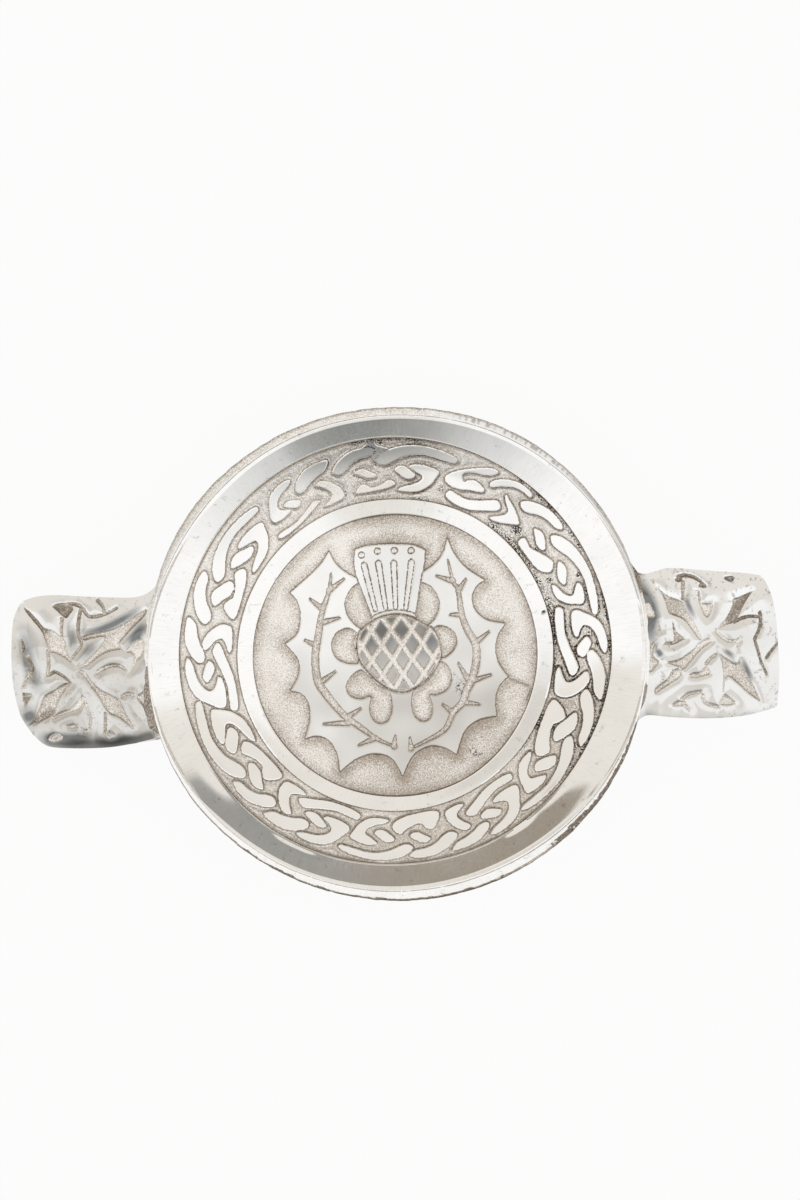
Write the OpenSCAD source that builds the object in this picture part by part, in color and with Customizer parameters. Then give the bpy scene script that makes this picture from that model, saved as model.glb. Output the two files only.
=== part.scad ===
// Quaich: a shallow two-lugged drinking bowl of cast and polished pewter.
// A knotwork band and a thistle roundel are let into the inside of the bowl,
// and the lugs and the foot ring are soldered on.
// X runs along the lugs, Y points to the thistle's crown, Z is up.
// The origin is on the table under the middle of the bowl.

/* [Bowl] */
// Outer diameter of the bowl at its rim
bowl_d = 100; // [96:1:112]
// Height from the table to the top of the rim
bowl_h = 19; // [18:0.5:22]
// Thickness of the wall and the floor
wall = 2.8; // [2.4:0.1:3.4]
// Radius of the curve that joins the flat floor to the rim
hollow_r = 32; // [28:0.5:36]
// Width of the rim's top
rim_w = 2; // [1.4:0.1:2.6]
// Width and height of the bright chamfer inside the rim
rim_chamfer = 0.8; // [0.4:0.1:1.2]
// Fall of the rim's top towards its outer edge
rim_fall = 0.4; // [0.1:0.1:0.8]

/* [Inlays] */
// Depth of the channel and the recess that hold the inlays
inlay_depth = 1.2; // [1:0.1:1.4]
// Height of the relief above its ground
relief = 0.6; // [0.4:0.1:0.8]
// Plain strip of wall between the rim's chamfer and the band
wall_strip = 4.4; // [3.6:0.2:5.6]
// Width of the knotwork band
band_w = 11.2; // [9.8:0.2:12]
// Plain ring between the band and the roundel
ring_w = 3.4; // [2.8:0.2:5]
// Bare ground between the leaf tips and the roundel's edge
leaf_margin = 4; // [3:0.2:6]
// Depth of the leaf scallops between two tips
leaf_scallop = 1.9; // [1:0.1:2.4]

/* [Thistle] */
// Radius of the thistle's bulb
bulb_r = 8; // [7:0.2:8.6]
// Rise of the bulb's middle above the plain ring
bulb_rise = 1.4; // [0.8:0.1:2]
// Rise of the bulb's edge above the plain ring
bulb_edge = 0.2; // [0.1:0.05:0.4]
// Width of a lattice rib on the bulb
rib_w = 0.9; // [0.6:0.1:1.2]
// Spacing of the lattice ribs
rib_step = 2.7; // [2.2:0.1:3.2]
// Height of the lattice ribs and the crown above their grounds
rib_rise = 0.3; // [0.2:0.05:0.5]
// Half width of the crown at its top
crown_top = 7.2; // [6:0.2:8]
// Half width of the crown where it meets the bulb
crown_foot = 4.4; // [3.6:0.2:5]
// Depth of the lobes, veins and reeds cut into the leaves and the crown
carve_depth = 0.35; // [0.2:0.05:0.5]
// Width of a leaf vein at its root
vein_w = 0.9; // [0.6:0.1:1.2]

/* [Lugs] */
// Reach of a lug beyond the bowl
lug_reach = 26.7; // [22:0.5:32]
// Width of a lug
lug_w = 30; // [26:0.5:34]
// Thickness of a lug at its middle
lug_t = 3.6; // [3:0.1:4.4]
// Drop from the rim to the top of a lug
lug_drop = 0.8; // [0.4:0.1:2]
// Radius of the lug's domed top
lug_dome_r = 90; // [70:5:140]
// Radius of a lug's outer corners
lug_corner_r = 4.5; // [2:0.5:7]
// Depth of the pockets in a lug's top
pocket_depth = 0.7; // [0.4:0.1:1]
// Thickness of the solder seam between a lug and the bowl
seam = 0.3; // [0.2:0.05:0.6]
// Radius of the concave web in the corner of a lug and the bowl
web_r = 2; // [1.2:0.1:3]

/* [Foot] */
// Outer diameter of the foot ring on the table
foot_d = 50; // [44:1:54]
// Height from the table to the underside of the bowl
foot_h = 5.6; // [5:0.1:7]
// Thickness of the foot ring
foot_w = 2.6; // [2:0.1:3.4]
// How far the foot ring leans in from its bottom to its top
foot_lean = 2; // [1:0.1:3]
// Depth of the rebate that seats the foot ring under the bowl
rebate = 0.5; // [0.3:0.1:0.7]
// Radius of the solder fillet round the foot ring
fillet_r = 1.2; // [0.8:0.1:1.6]

/* [Hidden] */
$fn = 96;

// Clearance round every piece that is let in or soldered on
fit = 0.05;
// Overlap of shapes that are cut from or joined to one another
lap = 0.3;

// Bowl: the inside curve is a circle tangent to the flat floor
bowl_r = bowl_d / 2;
lip_r = bowl_r - rim_w - rim_chamfer;
floor_z = foot_h + wall;
curve_z = floor_z + hollow_r;
lip_z = bowl_h - rim_chamfer;
curve_reach = sqrt(pow(hollow_r, 2) - pow(curve_z - lip_z, 2));
curve_x = lip_r - curve_reach;

// Rings on the inside of the bowl, from the rim to the middle
band_out_r = lip_r - wall_strip;
band_in_r = band_out_r - band_w;
roundel_r = band_in_r - ring_w;
leaf_reach = roundel_r - leaf_margin;

// Foot ring where it enters the bowl
foot_r = foot_d / 2;
foot_top_r = foot_r - foot_lean;

// Lugs: their middle, top, and where their plan starts inside the bowl's wall
lug_middle = bowl_r + lug_reach / 2;
lug_top = bowl_h - lug_drop;
lug_root = bowl_r - 2 * wall - rim_w;

// Straight steps in which the band's casting follows the curve of the wall
band_steps = 3;

// Angle at which each knot starts. The master pattern was spaced by hand.
knot_starts = [94, 34, -30, -89, -144, -204];
knots = len(knot_starts);

// Outlines of the strands of one knot. The first number runs clockwise from
// the knot's start (0) to the next knot (1), and the second runs outwards
// across the band, from its inner edge (0) to its outer edge (1).
long_strand = [[0, .66], [.04, .81], [.11, .91], [.21, .95], [.32, .92], [.4, .85],
               [.4, .75], [.33, .75], [.23, .78], [.14, .71], [.06, .57], [.02, .57]];
hook_strand = [[.2, .63], [.23, .69], [.3, .68], [.36, .61], [.35, .45], [.325, .28], [.27, .13],
               [.2, .09], [.14, .12], [.16, .19], [.23, .27], [.27, .36], [.275, .46], [.24, .53]];
hook_stub = [[.1, .55], [.13, .63], [.17, .62], [.21, .53], [.24, .45], [.23, .37], [.19, .34], [.14, .42]];
c_strand = [[.61, .9], [.57, .95], [.5, .92], [.44, .82], [.4, .64], [.365, .45], [.375, .34], [.44, .29],
            [.5, .31], [.515, .38], [.475, .45], [.455, .54], [.475, .66], [.52, .75], [.58, .81]];
c_stub = [[.49, .57], [.52, .64], [.56, .61], [.61, .52], [.6, .43], [.56, .4], [.52, .47]];
outer_strand = [[.81, .92], [.76, .95], [.69, .93], [.63, .83], [.59, .7],
                [.6, .6], [.64, .6], [.68, .67], [.73, .73], [.78, .78]];
last_strand = [[1.01, .89], [.97, .95], [.9, .94], [.84, .86], [.79, .74], [.77, .62],
               [.8, .53], [.84, .57], [.88, .68], [.93, .75], [.985, .78]];
sole_strand = [[.33, .14], [.345, .24], [.4, .22], [.47, .2], [.55, .27], [.61, .36], [.655, .42],
               [.695, .36], [.69, .28], [.62, .17], [.53, .07], [.44, .05], [.37, .08]];
chevron = [[.68, .55], [.7, .62], [.73, .6], [.77, .48], [.8, .32], [.8, .16],
           [.77, .1], [.7, .08], [.67, .13], [.71, .2], [.735, .28], [.72, .4]];
bow_strand = [[.82, .12], [.83, .23], [.87, .37], [.9, .4], [.935, .33], [.96, .26], [1.01, .28], [1.06, .35],
              [1.1, .43], [1.14, .37], [1.155, .27], [1.12, .17], [1.04, .09], [.93, .06], [.86, .07]];
bow_stub = [[.88, .56], [.91, .64], [.95, .65], [1, .56], [1.04, .45], [1.02, .36], [.97, .36], [.93, .44]];
knot = [long_strand, hook_strand, hook_stub, c_strand, c_stub, outer_strand,
        last_strand, sole_strand, chevron, bow_strand, bow_stub];

// Leaves: the tips stand on a circle, a step apart, up from the bottom one
tip_step = 25.3;
tips_per_side = 6;
// Height of the crown's top and of the notch beside it, in leaf reaches
crown_high = 0.91;
notch_high = 0.66;

// Lobes round the bulb: angle, and distance and radius in bulb radii
lobes = [[132, 1.56, .36], [174, 1.32, .4], [222, 1.35, .4], [251, 1.46, .34]];

// Middle line of a leaf's main vein and its thorns, in leaf reaches
vein = [[-.53, .68], [-.54, .5], [-.6, .33], [-.65, .02],
        [-.64, -.2], [-.44, -.5], [-.17, -.71], [-.03, -.77]];
thorns = [[[-.54, .5], [-.42, .64]], [[-.57, .43], [-.7, .46]], [[-.6, .32], [-.45, .31]],
          [[-.65, .1], [-.76, .13]], [[-.63, -.17], [-.5, -.14]], [[-.44, -.5], [-.62, -.57]],
          [[-.38, -.55], [-.3, -.45]], [[-.2, -.69], [-.33, -.76]]];

// Reeds and beads of the crown: places across its width, from -1 to 1
reeds = [-.72, -.26, .2, .66];
bead_r = 0.7;
// Plain metal left between the carving and the bulb and crown
carve_margin = 0.15;
// How deep the raised parts of the roundel are rooted in its ground
ground_lap = (inlay_depth - relief) / 2;

// Lug pockets, in half widths of a lug. The diagonal pocket runs out from
// the middle, and the arch and the spandrel lie between two diagonals.
diagonal_pocket = [[.1, 0], [.3, .06], [.55, .17], [.68, .05],
                   [1.08, 0], [.72, -.07], [.5, -.16], [.3, -.05]];
arch_pocket = [[-.3, .72], [-.16, .83], [.06, .8], [.2, .68], [.04, .7], [-.14, .73]];
spandrel_pocket = [[-.06, .38], [.12, .42], [.04, .24]];

// A point on a smooth curve from b to c
function catmull(a, b, c, d, t) =
    b + 0.5 * t * (c - a + t * (2 * a - 5 * b + 4 * c - d + t * (3 * (b - c) + d - a)));

// A smooth closed curve through a list of points
function closed_curve(p, steps) = let (n = len(p))
    [for (i = [0:n - 1]) for (j = [0:steps - 1])
        catmull(p[(i + n - 1) % n], p[i], p[(i + 1) % n], p[(i + 2) % n], j / steps)];

// A smooth open curve through a list of points
function open_curve(p, steps) = let (n = len(p))
    concat([for (i = [0:n - 2]) for (j = [0:steps - 1])
        catmull(p[max(i - 1, 0)], p[i], p[i + 1], p[min(i + 2, n - 1)], j / steps)], [p[n - 1]]);

// The direction across a curve at one of its points
function across(c, i) = let (d = c[min(i + 1, len(c) - 1)] - c[max(i - 1, 0)]) [-d[1], d[0]] / norm(d);

// A stroke along a curve, with a half width at its start and at its end
function stroke(c, from, to) = let (n = len(c) - 1)
    concat([for (i = [0:n]) c[i] + (from + (to - from) * i / n) * across(c, i)],
           [for (i = [n:-1:0]) c[i] - (from + (to - from) * i / n) * across(c, i)]);

// A strand's point on the band, seen from above
function knot_point(k, p) =
    let (next = (k + 1 < knots) ? knot_starts[k + 1] : knot_starts[0] - 360,
         angle = knot_starts[k] + p[0] * (next - knot_starts[k]),
         r = band_in_r + p[1] * band_w)
    r * [cos(angle), sin(angle)];

// A point at a depth below the inside curve
function curve_point(depth, r) = [r, curve_z - sqrt(pow(hollow_r + depth, 2) - pow(r - curve_x, 2))];

// Section of the band's casting between two depths, in straight steps along the curve
module band_layer(from, to) {
    in_r = band_in_r + fit;
    step = (band_w - 2 * fit) / band_steps;
    polygon(concat([for (i = [0:band_steps]) curve_point(from, in_r + i * step)],
                   [for (i = [band_steps:-1:0]) curve_point(to, in_r + i * step)]));
}

// Section of the channel that the band is let into
module band_channel() {
    intersection() {
        translate([curve_x, curve_z])
            difference() {
                circle(hollow_r + inlay_depth);
                circle(hollow_r - lap);
            }
        translate([band_in_r, 0])
            square([band_w, bowl_h]);
    }
}

// Section of the bowl below its inside curve, or of its outside grown by a gap
module dish_section(depth, out_r) {
    intersection() {
        union() {
            translate([curve_x, curve_z])
                circle(hollow_r + depth);
            translate([0, curve_z - hollow_r - depth])
                square([curve_x, hollow_r + depth]);
        }
        square([out_r, bowl_h]);
    }
}

module rim_cuts() {
    polygon([[lip_r - lap, lip_z - lap], [lip_r, lip_z], [lip_r + rim_chamfer, bowl_h],
             [lip_r + rim_chamfer, bowl_h + lap], [lip_r - lap, bowl_h + lap]]);
    polygon([[lip_r + rim_chamfer, bowl_h], [bowl_r, bowl_h - rim_fall], [bowl_r + lap, bowl_h - rim_fall],
             [bowl_r + lap, bowl_h + lap], [lip_r + rim_chamfer, bowl_h + lap]]);
}

module bowl() {
    color("gainsboro")
        rotate_extrude()
            difference() {
                dish_section(wall, bowl_r);
                dish_section(0, bowl_r);
                rim_cuts();
                band_channel();
                translate([0, floor_z - inlay_depth])
                    square([roundel_r, inlay_depth + lap]);
                translate([foot_top_r - foot_w - fit, foot_h - lap])
                    square([foot_w + 2 * fit, rebate + lap]);
            }
}

module strands() {
    for (k = [0:knots - 1], strand = knot)
        polygon(closed_curve([for (p = strand) knot_point(k, p)], 2));
}

module knotwork_band() {
    color("silver") {
        rotate_extrude()
            band_layer(relief, inlay_depth - fit);
        intersection() {
            rotate_extrude()
                band_layer(0, (relief + inlay_depth) / 2);
            linear_extrude(bowl_h)
                strands();
        }
    }
}

// A point on the line from the middle through a leaf tip
function leaf_tip(k, r) = r * [cos(k * tip_step - 90), sin(k * tip_step - 90)];

// The scallops cross at the tips, so the blank's corners stand clear outside them
module leaf_outline() {
    notch = [crown_top, leaf_reach * notch_high];
    crown = [crown_top, leaf_reach * crown_high];
    last_tip = leaf_tip(tips_per_side, leaf_reach);
    past_tip = last_tip + lap * (last_tip - notch) / norm(last_tip - notch);
    half = concat([for (k = [0:tips_per_side - 1]) leaf_tip(k, leaf_reach + lap)], [past_tip, notch, crown]);
    difference() {
        polygon(concat(half, [for (i = [len(half) - 1:-1:1]) [-half[i][0], half[i][1]]]));
        for (k = [-tips_per_side:tips_per_side - 1]) {
            chord = norm(leaf_tip(k + 1, leaf_reach) - leaf_tip(k, leaf_reach));
            scallop_r = (pow(chord / 2, 2) + pow(leaf_scallop, 2)) / (2 * leaf_scallop);
            translate(leaf_tip(k + 0.5, leaf_reach * cos(tip_step / 2) + scallop_r - leaf_scallop))
                circle(scallop_r);
        }
    }
}

module leaf_carving() {
    for (lobe = lobes)
        translate(bulb_r * lobe[1] * [cos(lobe[0]), sin(lobe[0])])
            circle(bulb_r * lobe[2]);
    polygon(stroke(open_curve(leaf_reach * vein, 3), vein_w / 2, vein_w / 3));
    for (thorn = thorns)
        polygon(stroke(leaf_reach * thorn, vein_w / 2, vein_w / 6));
}

// Point on the crown: across from -1 to 1, and up from the bulb (0) to the top (1)
function crown_point(x, y) = let (low = bulb_r, high = leaf_reach * crown_high)
    [x * (crown_foot + (crown_top - crown_foot) * y), low + (high - low) * y];

// Outline of the crown, with its half width in shares of the crown's own
module crown_outline(half) {
    polygon([crown_point(-half, -.1), crown_point(half, -.1), crown_point(half, 1), crown_point(-half, 1)]);
}

module crown_panel() {
    reed_half = rib_w / 2;
    difference() {
        crown_outline(1);
        for (x = reeds)
            polygon(stroke([crown_point(x, .1), crown_point(x, .75)], reed_half / 2, reed_half));
    }
}

module lattice() {
    rib_angle = 35;
    reach = floor(bulb_r / rib_step);
    for (side = [-1, 1], i = [-reach:reach])
        rotate(side * rib_angle)
            translate([(i + 0.5) * rib_step, 0])
                square([rib_w, 2 * bulb_r], center = true);
}

// Ball whose top is the bulb's dome, lifted by a height
module bulb_dome(lift) {
    height = bulb_rise - bulb_edge;
    dome_r = (pow(bulb_r, 2) + pow(height, 2)) / (2 * height);
    translate([0, 0, floor_z + bulb_rise + lift - dome_r])
        rotate([90, 0, 0])
            sphere(dome_r, $fn = 180);
}

// Straight sides from inside the roundel's ground up to a height above the plain ring
module raised(height) {
    translate([0, 0, floor_z - relief - ground_lap])
        linear_extrude(relief + ground_lap + height)
            children();
}

module thistle_roundel() {
    color("lightgray")
    difference() {
        union() {
            translate([0, 0, floor_z - inlay_depth + fit])
                cylinder(inlay_depth - relief - fit, r = roundel_r - fit);
            raised(0)
                leaf_outline();
            raised(rib_rise)
                crown_panel();
            intersection() {
                bulb_dome(0);
                raised(bulb_rise)
                    circle(bulb_r);
            }
            intersection() {
                bulb_dome(rib_rise);
                raised(bulb_rise + rib_rise)
                    intersection() {
                        lattice();
                        circle(bulb_r - fit);
                    }
            }
            for (x = reeds)
                translate([crown_point(x, .9)[0], crown_point(x, .9)[1], floor_z])
                    rotate([90, 0, 0])
                        sphere(bead_r);
        }
        translate([0, 0, floor_z - carve_depth])
            linear_extrude(carve_depth + lap)
                for (side = [0, 1])
                    mirror([side, 0])
                        difference() {
                            leaf_carving();
                            circle(bulb_r + carve_margin);
                            crown_outline(1 + carve_margin / crown_top);
                        }
    }
}

// The bowl's outside, grown by a gap, as a cutter
module bowl_outside(gap) {
    rotate_extrude()
        dish_section(wall + gap, bowl_r + gap);
}

module lug_plan() {
    r = lug_corner_r;
    end = bowl_r + lug_reach;
    translate([lug_root, -lug_w / 2])
        square([end - r - lug_root, lug_w]);
    translate([lug_root, r - lug_w / 2])
        square([end - lug_root, lug_w - 2 * r]);
    for (side = [-1, 1])
        translate([end - r, side * (lug_w / 2 - r)])
            circle(r);
}

module lug_pockets() {
    half = lug_w / 2;
    for (turn = [0:90:270]) {
        rotate(turn + 45)
            polygon(closed_curve(half * diagonal_pocket, 2));
        rotate(turn) {
            polygon(closed_curve(half * arch_pocket, 2));
            polygon(half * spandrel_pocket);
        }
    }
}

// Space at a depth below the lug's domed top
module lug_dome(depth) {
    translate([lug_middle, 0, lug_top - lug_dome_r])
        sphere(lug_dome_r - depth, $fn = 360);
}

// Straight sides over the whole height of a lug
module lug_prism() {
    translate([0, 0, lug_top - lug_t])
        linear_extrude(lug_t)
            children();
}

module lug() {
    difference() {
        intersection() {
            lug_prism()
                lug_plan();
            lug_dome(0);
        }
        bowl_outside(seam + 2 * fit);
        difference() {
            lug_prism()
                translate([lug_middle, 0])
                    lug_pockets();
            lug_dome(pocket_depth);
        }
    }
}

module left_lug() {
    color("silver")
        rotate(180)
            lug();
}

module right_lug() {
    color("silver")
        lug();
}

// Web in the corner of a lug and the bowl, concave on its open side
module web_plan() {
    side = lug_w / 2 + fit;
    web_x = sqrt(pow(bowl_r + web_r, 2) - pow(side + web_r, 2));
    touch_y = (side + web_r) * bowl_r / (bowl_r + web_r);
    difference() {
        polygon([[lug_root, side], [web_x, side], [web_x, touch_y], [lug_root, touch_y]]);
        translate([web_x, side + web_r])
            circle(web_r);
    }
}

module lug_solder() {
    difference() {
        intersection() {
            union() {
                intersection() {
                    bowl_outside(seam + fit);
                    lug_prism()
                        translate([lug_root, -lug_w / 2 - lap])
                            square([bowl_r + seam + lap - lug_root, lug_w + 2 * lap]);
                }
                lug_prism()
                    for (side = [0, 1])
                        mirror([0, side])
                            web_plan();
            }
            lug_dome(0);
        }
        bowl_outside(fit);
    }
}

module left_lug_solder() {
    color("gray")
        rotate(180)
            lug_solder();
}

module right_lug_solder() {
    color("gray")
        lug_solder();
}

module foot_section() {
    neck_z = foot_h - fillet_r;
    top_z = foot_h + rebate - fit;
    polygon([[foot_r - foot_w, 0], [foot_r, 0], [foot_top_r, neck_z], [foot_top_r, top_z],
             [foot_top_r - foot_w, top_z], [foot_top_r - foot_w, neck_z]]);
}

module foot_ring() {
    color("darkgray")
        rotate_extrude()
            foot_section();
}

module foot_ring_solder() {
    color("gray")
        rotate_extrude()
            translate([foot_top_r + fit, foot_h - fillet_r - fit])
                difference() {
                    square(fillet_r);
                    translate([fillet_r, 0])
                        circle(fillet_r);
                }
}

bowl();
knotwork_band();
thistle_roundel();
left_lug();
right_lug();
left_lug_solder();
right_lug_solder();
foot_ring();
foot_ring_solder();
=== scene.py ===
"""Looks of the quaich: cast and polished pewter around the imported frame.

Lengths are in millimetres until a mesh is made. Reliefs are height fields on
the inside of the bowl and on the lugs, drawn on square grids laid over the
photograph.
"""

from math import cos, radians, sin, sqrt

import bmesh
import bpy
import numpy as np
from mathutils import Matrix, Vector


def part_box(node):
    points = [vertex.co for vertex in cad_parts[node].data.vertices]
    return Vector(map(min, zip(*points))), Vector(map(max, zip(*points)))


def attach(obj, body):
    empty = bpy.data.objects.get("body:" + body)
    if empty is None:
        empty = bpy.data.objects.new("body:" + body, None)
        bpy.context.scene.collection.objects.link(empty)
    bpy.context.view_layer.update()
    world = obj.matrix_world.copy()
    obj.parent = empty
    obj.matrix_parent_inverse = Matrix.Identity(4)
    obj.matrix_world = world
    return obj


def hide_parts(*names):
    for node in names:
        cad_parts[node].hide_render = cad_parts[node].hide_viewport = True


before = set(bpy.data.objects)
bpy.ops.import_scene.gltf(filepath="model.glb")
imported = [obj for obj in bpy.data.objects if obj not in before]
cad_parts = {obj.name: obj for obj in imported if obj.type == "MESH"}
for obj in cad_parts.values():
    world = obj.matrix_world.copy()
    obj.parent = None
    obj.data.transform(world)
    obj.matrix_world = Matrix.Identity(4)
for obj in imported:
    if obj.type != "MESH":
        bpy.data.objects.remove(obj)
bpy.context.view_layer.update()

MM = 0.001


def corners(node):
    """Lowest and highest corner of a node of the frame, in mm."""
    low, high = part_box(node)
    return np.array(low) / MM, np.array(high) / MM


# Photograph: size, scale, and where the middle of the bowl is
PHOTO_W = 800
PHOTO_H = 1200
PX_PER_MM = 5.0
PHOTO_MIDDLE = (397, 654)
TURN = radians(2.6)
CAMERA_DISTANCE = 1000.0


def turned(right, up):
    """A place in the photograph, in mm from the middle of the bowl, in the axes of the object."""
    return np.stack([right * cos(TURN) + up * sin(TURN), up * cos(TURN) - right * sin(TURN)], axis=-1)


LENS_XY = turned((PHOTO_W / 2 - PHOTO_MIDDLE[0]) / PX_PER_MM, (PHOTO_MIDDLE[1] - PHOTO_H / 2) / PX_PER_MM)

# Bowl: from the frame, and the few sizes that its box does not show
FIT = 0.05
WALL = 2.8
HOLLOW_R = 32.0
RIM_FLAT = 2.8
RIM_RISE = 0.8
BAND_W = 11.2
INLAY_DEPTH = 1.2
RELIEF = 0.6
REBATE = 0.5
RIM_R = corners("bowl")[1][0]
RIM_Z = corners("bowl")[1][2]
UNDER_Z = corners("bowl")[0][2]
ROUNDEL_R = corners("thistle_roundel")[1][0] + FIT
BAND_OUT_R = corners("knotwork_band")[1][0] + FIT
BAND_IN_R = BAND_OUT_R - BAND_W
LIP_R = RIM_R - RIM_FLAT
LIP_Z = RIM_Z - RIM_RISE
FLOOR_Z = UNDER_Z + WALL
CURVE_Z = FLOOR_Z + HOLLOW_R
CURVE_X = LIP_R - sqrt(HOLLOW_R ** 2 - (CURVE_Z - LIP_Z) ** 2)
FILLET_R = 1.2
FOOT_TOP_R = corners("foot_ring_solder")[1][0] - FILLET_R
FOOT_W = 2.6
LUG_TOP_Z = corners("left_lug")[1][2]
LUG_LOW_Z = corners("left_lug")[0][2]

# Rings as cast: true radius, and the radius every 30 degrees of the photograph, from the right
RINGS = [
    (0, (0,) * 12),
    (ROUNDEL_R, (28.35, 28.3, 28.15, 28.15, 28.3, 28.65, 29.1, 29.35, 29.2, 28.9, 28.8, 28.35)),
    (BAND_IN_R, (31.6, 31.55, 31.6, 31.2, 31.6, 31.9, 32.3, 32.3, 32.15, 31.85, 31.55, 31.5)),
    (BAND_OUT_R, (43.1, 42.95, 43.05, 43.4, 43.45, 43.4, 43.75, 43.65, 43.1, 42.15, 42.05, 42.25)),
    (LIP_R, (49.7, 48.9, 47.9, 47.05, 47.3, 47.7, 49.7, 48.9, 47.4, 46.6, 46.6, 48.2)),
    (RIM_R, (50.0, 50.3, 50.15, 49.4, 49.75, 50.3, 50.0, 50.3, 49.6, 49.4, 49.7, 50.1)),
]


def catmull(a, b, c, d, t):
    """A smooth curve from b at 0 to c at 1."""
    return b + 0.5 * t * (c - a + t * (2 * a - 5 * b + 4 * c - d + t * (3 * (b - c) + d - a)))


def ring_radius(radii, angle):
    """Radius of an uneven ring, smoothly between its radii in evenly spaced directions."""
    count = len(radii)
    place = np.mod((angle + TURN) / (2 * np.pi), 1) * count
    number = np.floor(place).astype(int)
    t = place - number
    return catmull(*(np.take(radii, (number + i) % count) for i in (-1, 0, 1, 2)), t)


def cast_radius(radius, angle):
    """Where a true radius lies on the uneven casting."""
    radius, angle = np.broadcast_arrays(radius, angle)
    result = radius.astype(float)
    for (r_in, cast_in), (r_out, cast_out) in zip(RINGS, RINGS[1:]):
        share = (radius - r_in) / (r_out - r_in)
        low = ring_radius(cast_in, angle)
        high = ring_radius(cast_out, angle)
        result = np.where((radius >= r_in) & (radius <= r_out), low + share * (high - low), result)
    return result


def dish(radius):
    """Height of the inside of the bowl at a true radius."""
    return CURVE_Z - np.sqrt(HOLLOW_R ** 2 - np.maximum(np.asarray(radius) - CURVE_X, 0) ** 2)


def wall(radius):
    """Height of the wall between the band and the lip, which polishing has made straight."""
    return np.interp(radius, [BAND_OUT_R, LIP_R], [dish(BAND_OUT_R), LIP_Z])


def under_dish(radius):
    """Height of the outside of the bowl at a true radius."""
    return CURVE_Z - np.sqrt((HOLLOW_R + WALL) ** 2 - np.maximum(np.asarray(radius) - CURVE_X, 0) ** 2)


# Curves, distances and noise

def at_depth(xy, z):
    """Places seen at the rim's height, moved along the camera's rays to their own height."""
    reach = 1 + (RIM_Z - np.asarray(z)) / CAMERA_DISTANCE
    return LENS_XY + (xy - LENS_XY) * reach[..., None]


def smooth(low, high, value):
    """Smooth step from 0 at low to 1 at high."""
    share = np.clip((value - low) / (high - low), 0, 1)
    return share * share * (3 - 2 * share)


def shares(steps):
    """Evenly spaced shares of a stretch, from 0 up to but without 1."""
    return np.linspace(0, 1, steps, endpoint=False)[:, None]


def closed_curve(points, steps=6):
    """Smooth closed curve through a list of points."""
    p = np.array(points, float)
    n = len(p)
    t = shares(steps)
    return np.concatenate([catmull(p[i - 1], p[i], p[(i + 1) % n], p[(i + 2) % n], t) for i in range(n)])


def open_curve(points, steps=6):
    """Smooth open curve through a list of points."""
    p = np.array(points, float)
    p = np.concatenate([p[:1], p, p[-1:]])
    parts = [catmull(*p[i:i + 4], shares(steps)) for i in range(len(p) - 3)]
    return np.concatenate(parts + [p[-1:]])


def cornered_curve(stretches):
    """Closed outline of smooth stretches. Each starts at a corner and runs to the next one's start."""
    parts = []
    for stretch, following in zip(stretches, stretches[1:] + stretches[:1]):
        parts.append(open_curve(stretch + [following[0]])[:-1])
    return np.concatenate(parts)


# Keeps a division by no length from failing
TINY = 1e-12


def line_distance(x, y, line):
    """Distance to a line of points, and how far along it (0 to 1) the nearest place is."""
    best = np.full(x.shape, np.inf)
    place = np.zeros(x.shape)
    count = len(line) - 1
    for i in range(count):
        (ax, ay), (bx, by) = line[i], line[i + 1]
        ex, ey = bx - ax, by - ay
        share = np.clip(((x - ax) * ex + (y - ay) * ey) / (ex * ex + ey * ey + TINY), 0, 1)
        gap = (x - ax - share * ex) ** 2 + (y - ay - share * ey) ** 2
        place = np.where(gap < best, (i + share) / count, place)
        best = np.minimum(best, gap)
    return np.sqrt(best), place


# How far from a shape its distance still counts, in mm
FAR = 2.5


def window(x, y, points):
    """The grid points that lie close to an outline or a line."""
    low = points.min(0) - FAR
    high = points.max(0) + FAR
    return (x > low[0]) & (x < high[0]) & (y > low[1]) & (y < high[1])


def area_distance(x, y, outline):
    """Distance to a closed outline, negative inside it and cut off at FAR."""
    result = np.full(x.shape, FAR)
    near = window(x, y, outline)
    px, py = x[near], y[near]
    gap = line_distance(px, py, np.concatenate([outline, outline[:1]]))[0]
    inside = np.zeros(px.shape, bool)
    for (ax, ay), (bx, by) in zip(outline, np.roll(outline, -1, axis=0)):
        level = (ay > py) != (by > py)
        inside ^= level & (px < ax + (py - ay) * (bx - ax) / (by - ay + TINY))
    result[near] = np.where(inside, -gap, np.minimum(gap, FAR))
    return result


def stroke_distance(x, y, line, from_w, to_w, swell=0.0):
    """Distance to a stroke along a line, whose half width changes along it and swells in the middle."""
    result = np.full(x.shape, FAR)
    near = window(x, y, line)
    gap, place = line_distance(x[near], y[near], line)
    half = from_w + (to_w - from_w) * place + swell * np.sin(np.pi * place)
    result[near] = np.minimum(gap - half, FAR)
    return result


def nearest(x, y, outlines):
    """Distance to the nearest of several closed outlines, negative inside."""
    return np.min([area_distance(x, y, outline) for outline in outlines], axis=0)


def nearest_stroke(x, y, lines, from_w, to_w, swell=0.0):
    """Distance to the nearest of several strokes, negative inside."""
    return np.min([stroke_distance(x, y, line, from_w, to_w, swell) for line in lines], axis=0)


# What scatters the noise: steps along x, y and the seeds, and how far they are spread
SCATTER_X = 127.1
SCATTER_Y = 311.7
SCATTER_SEED = 74.7
SPREAD = 43758.5453


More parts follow.
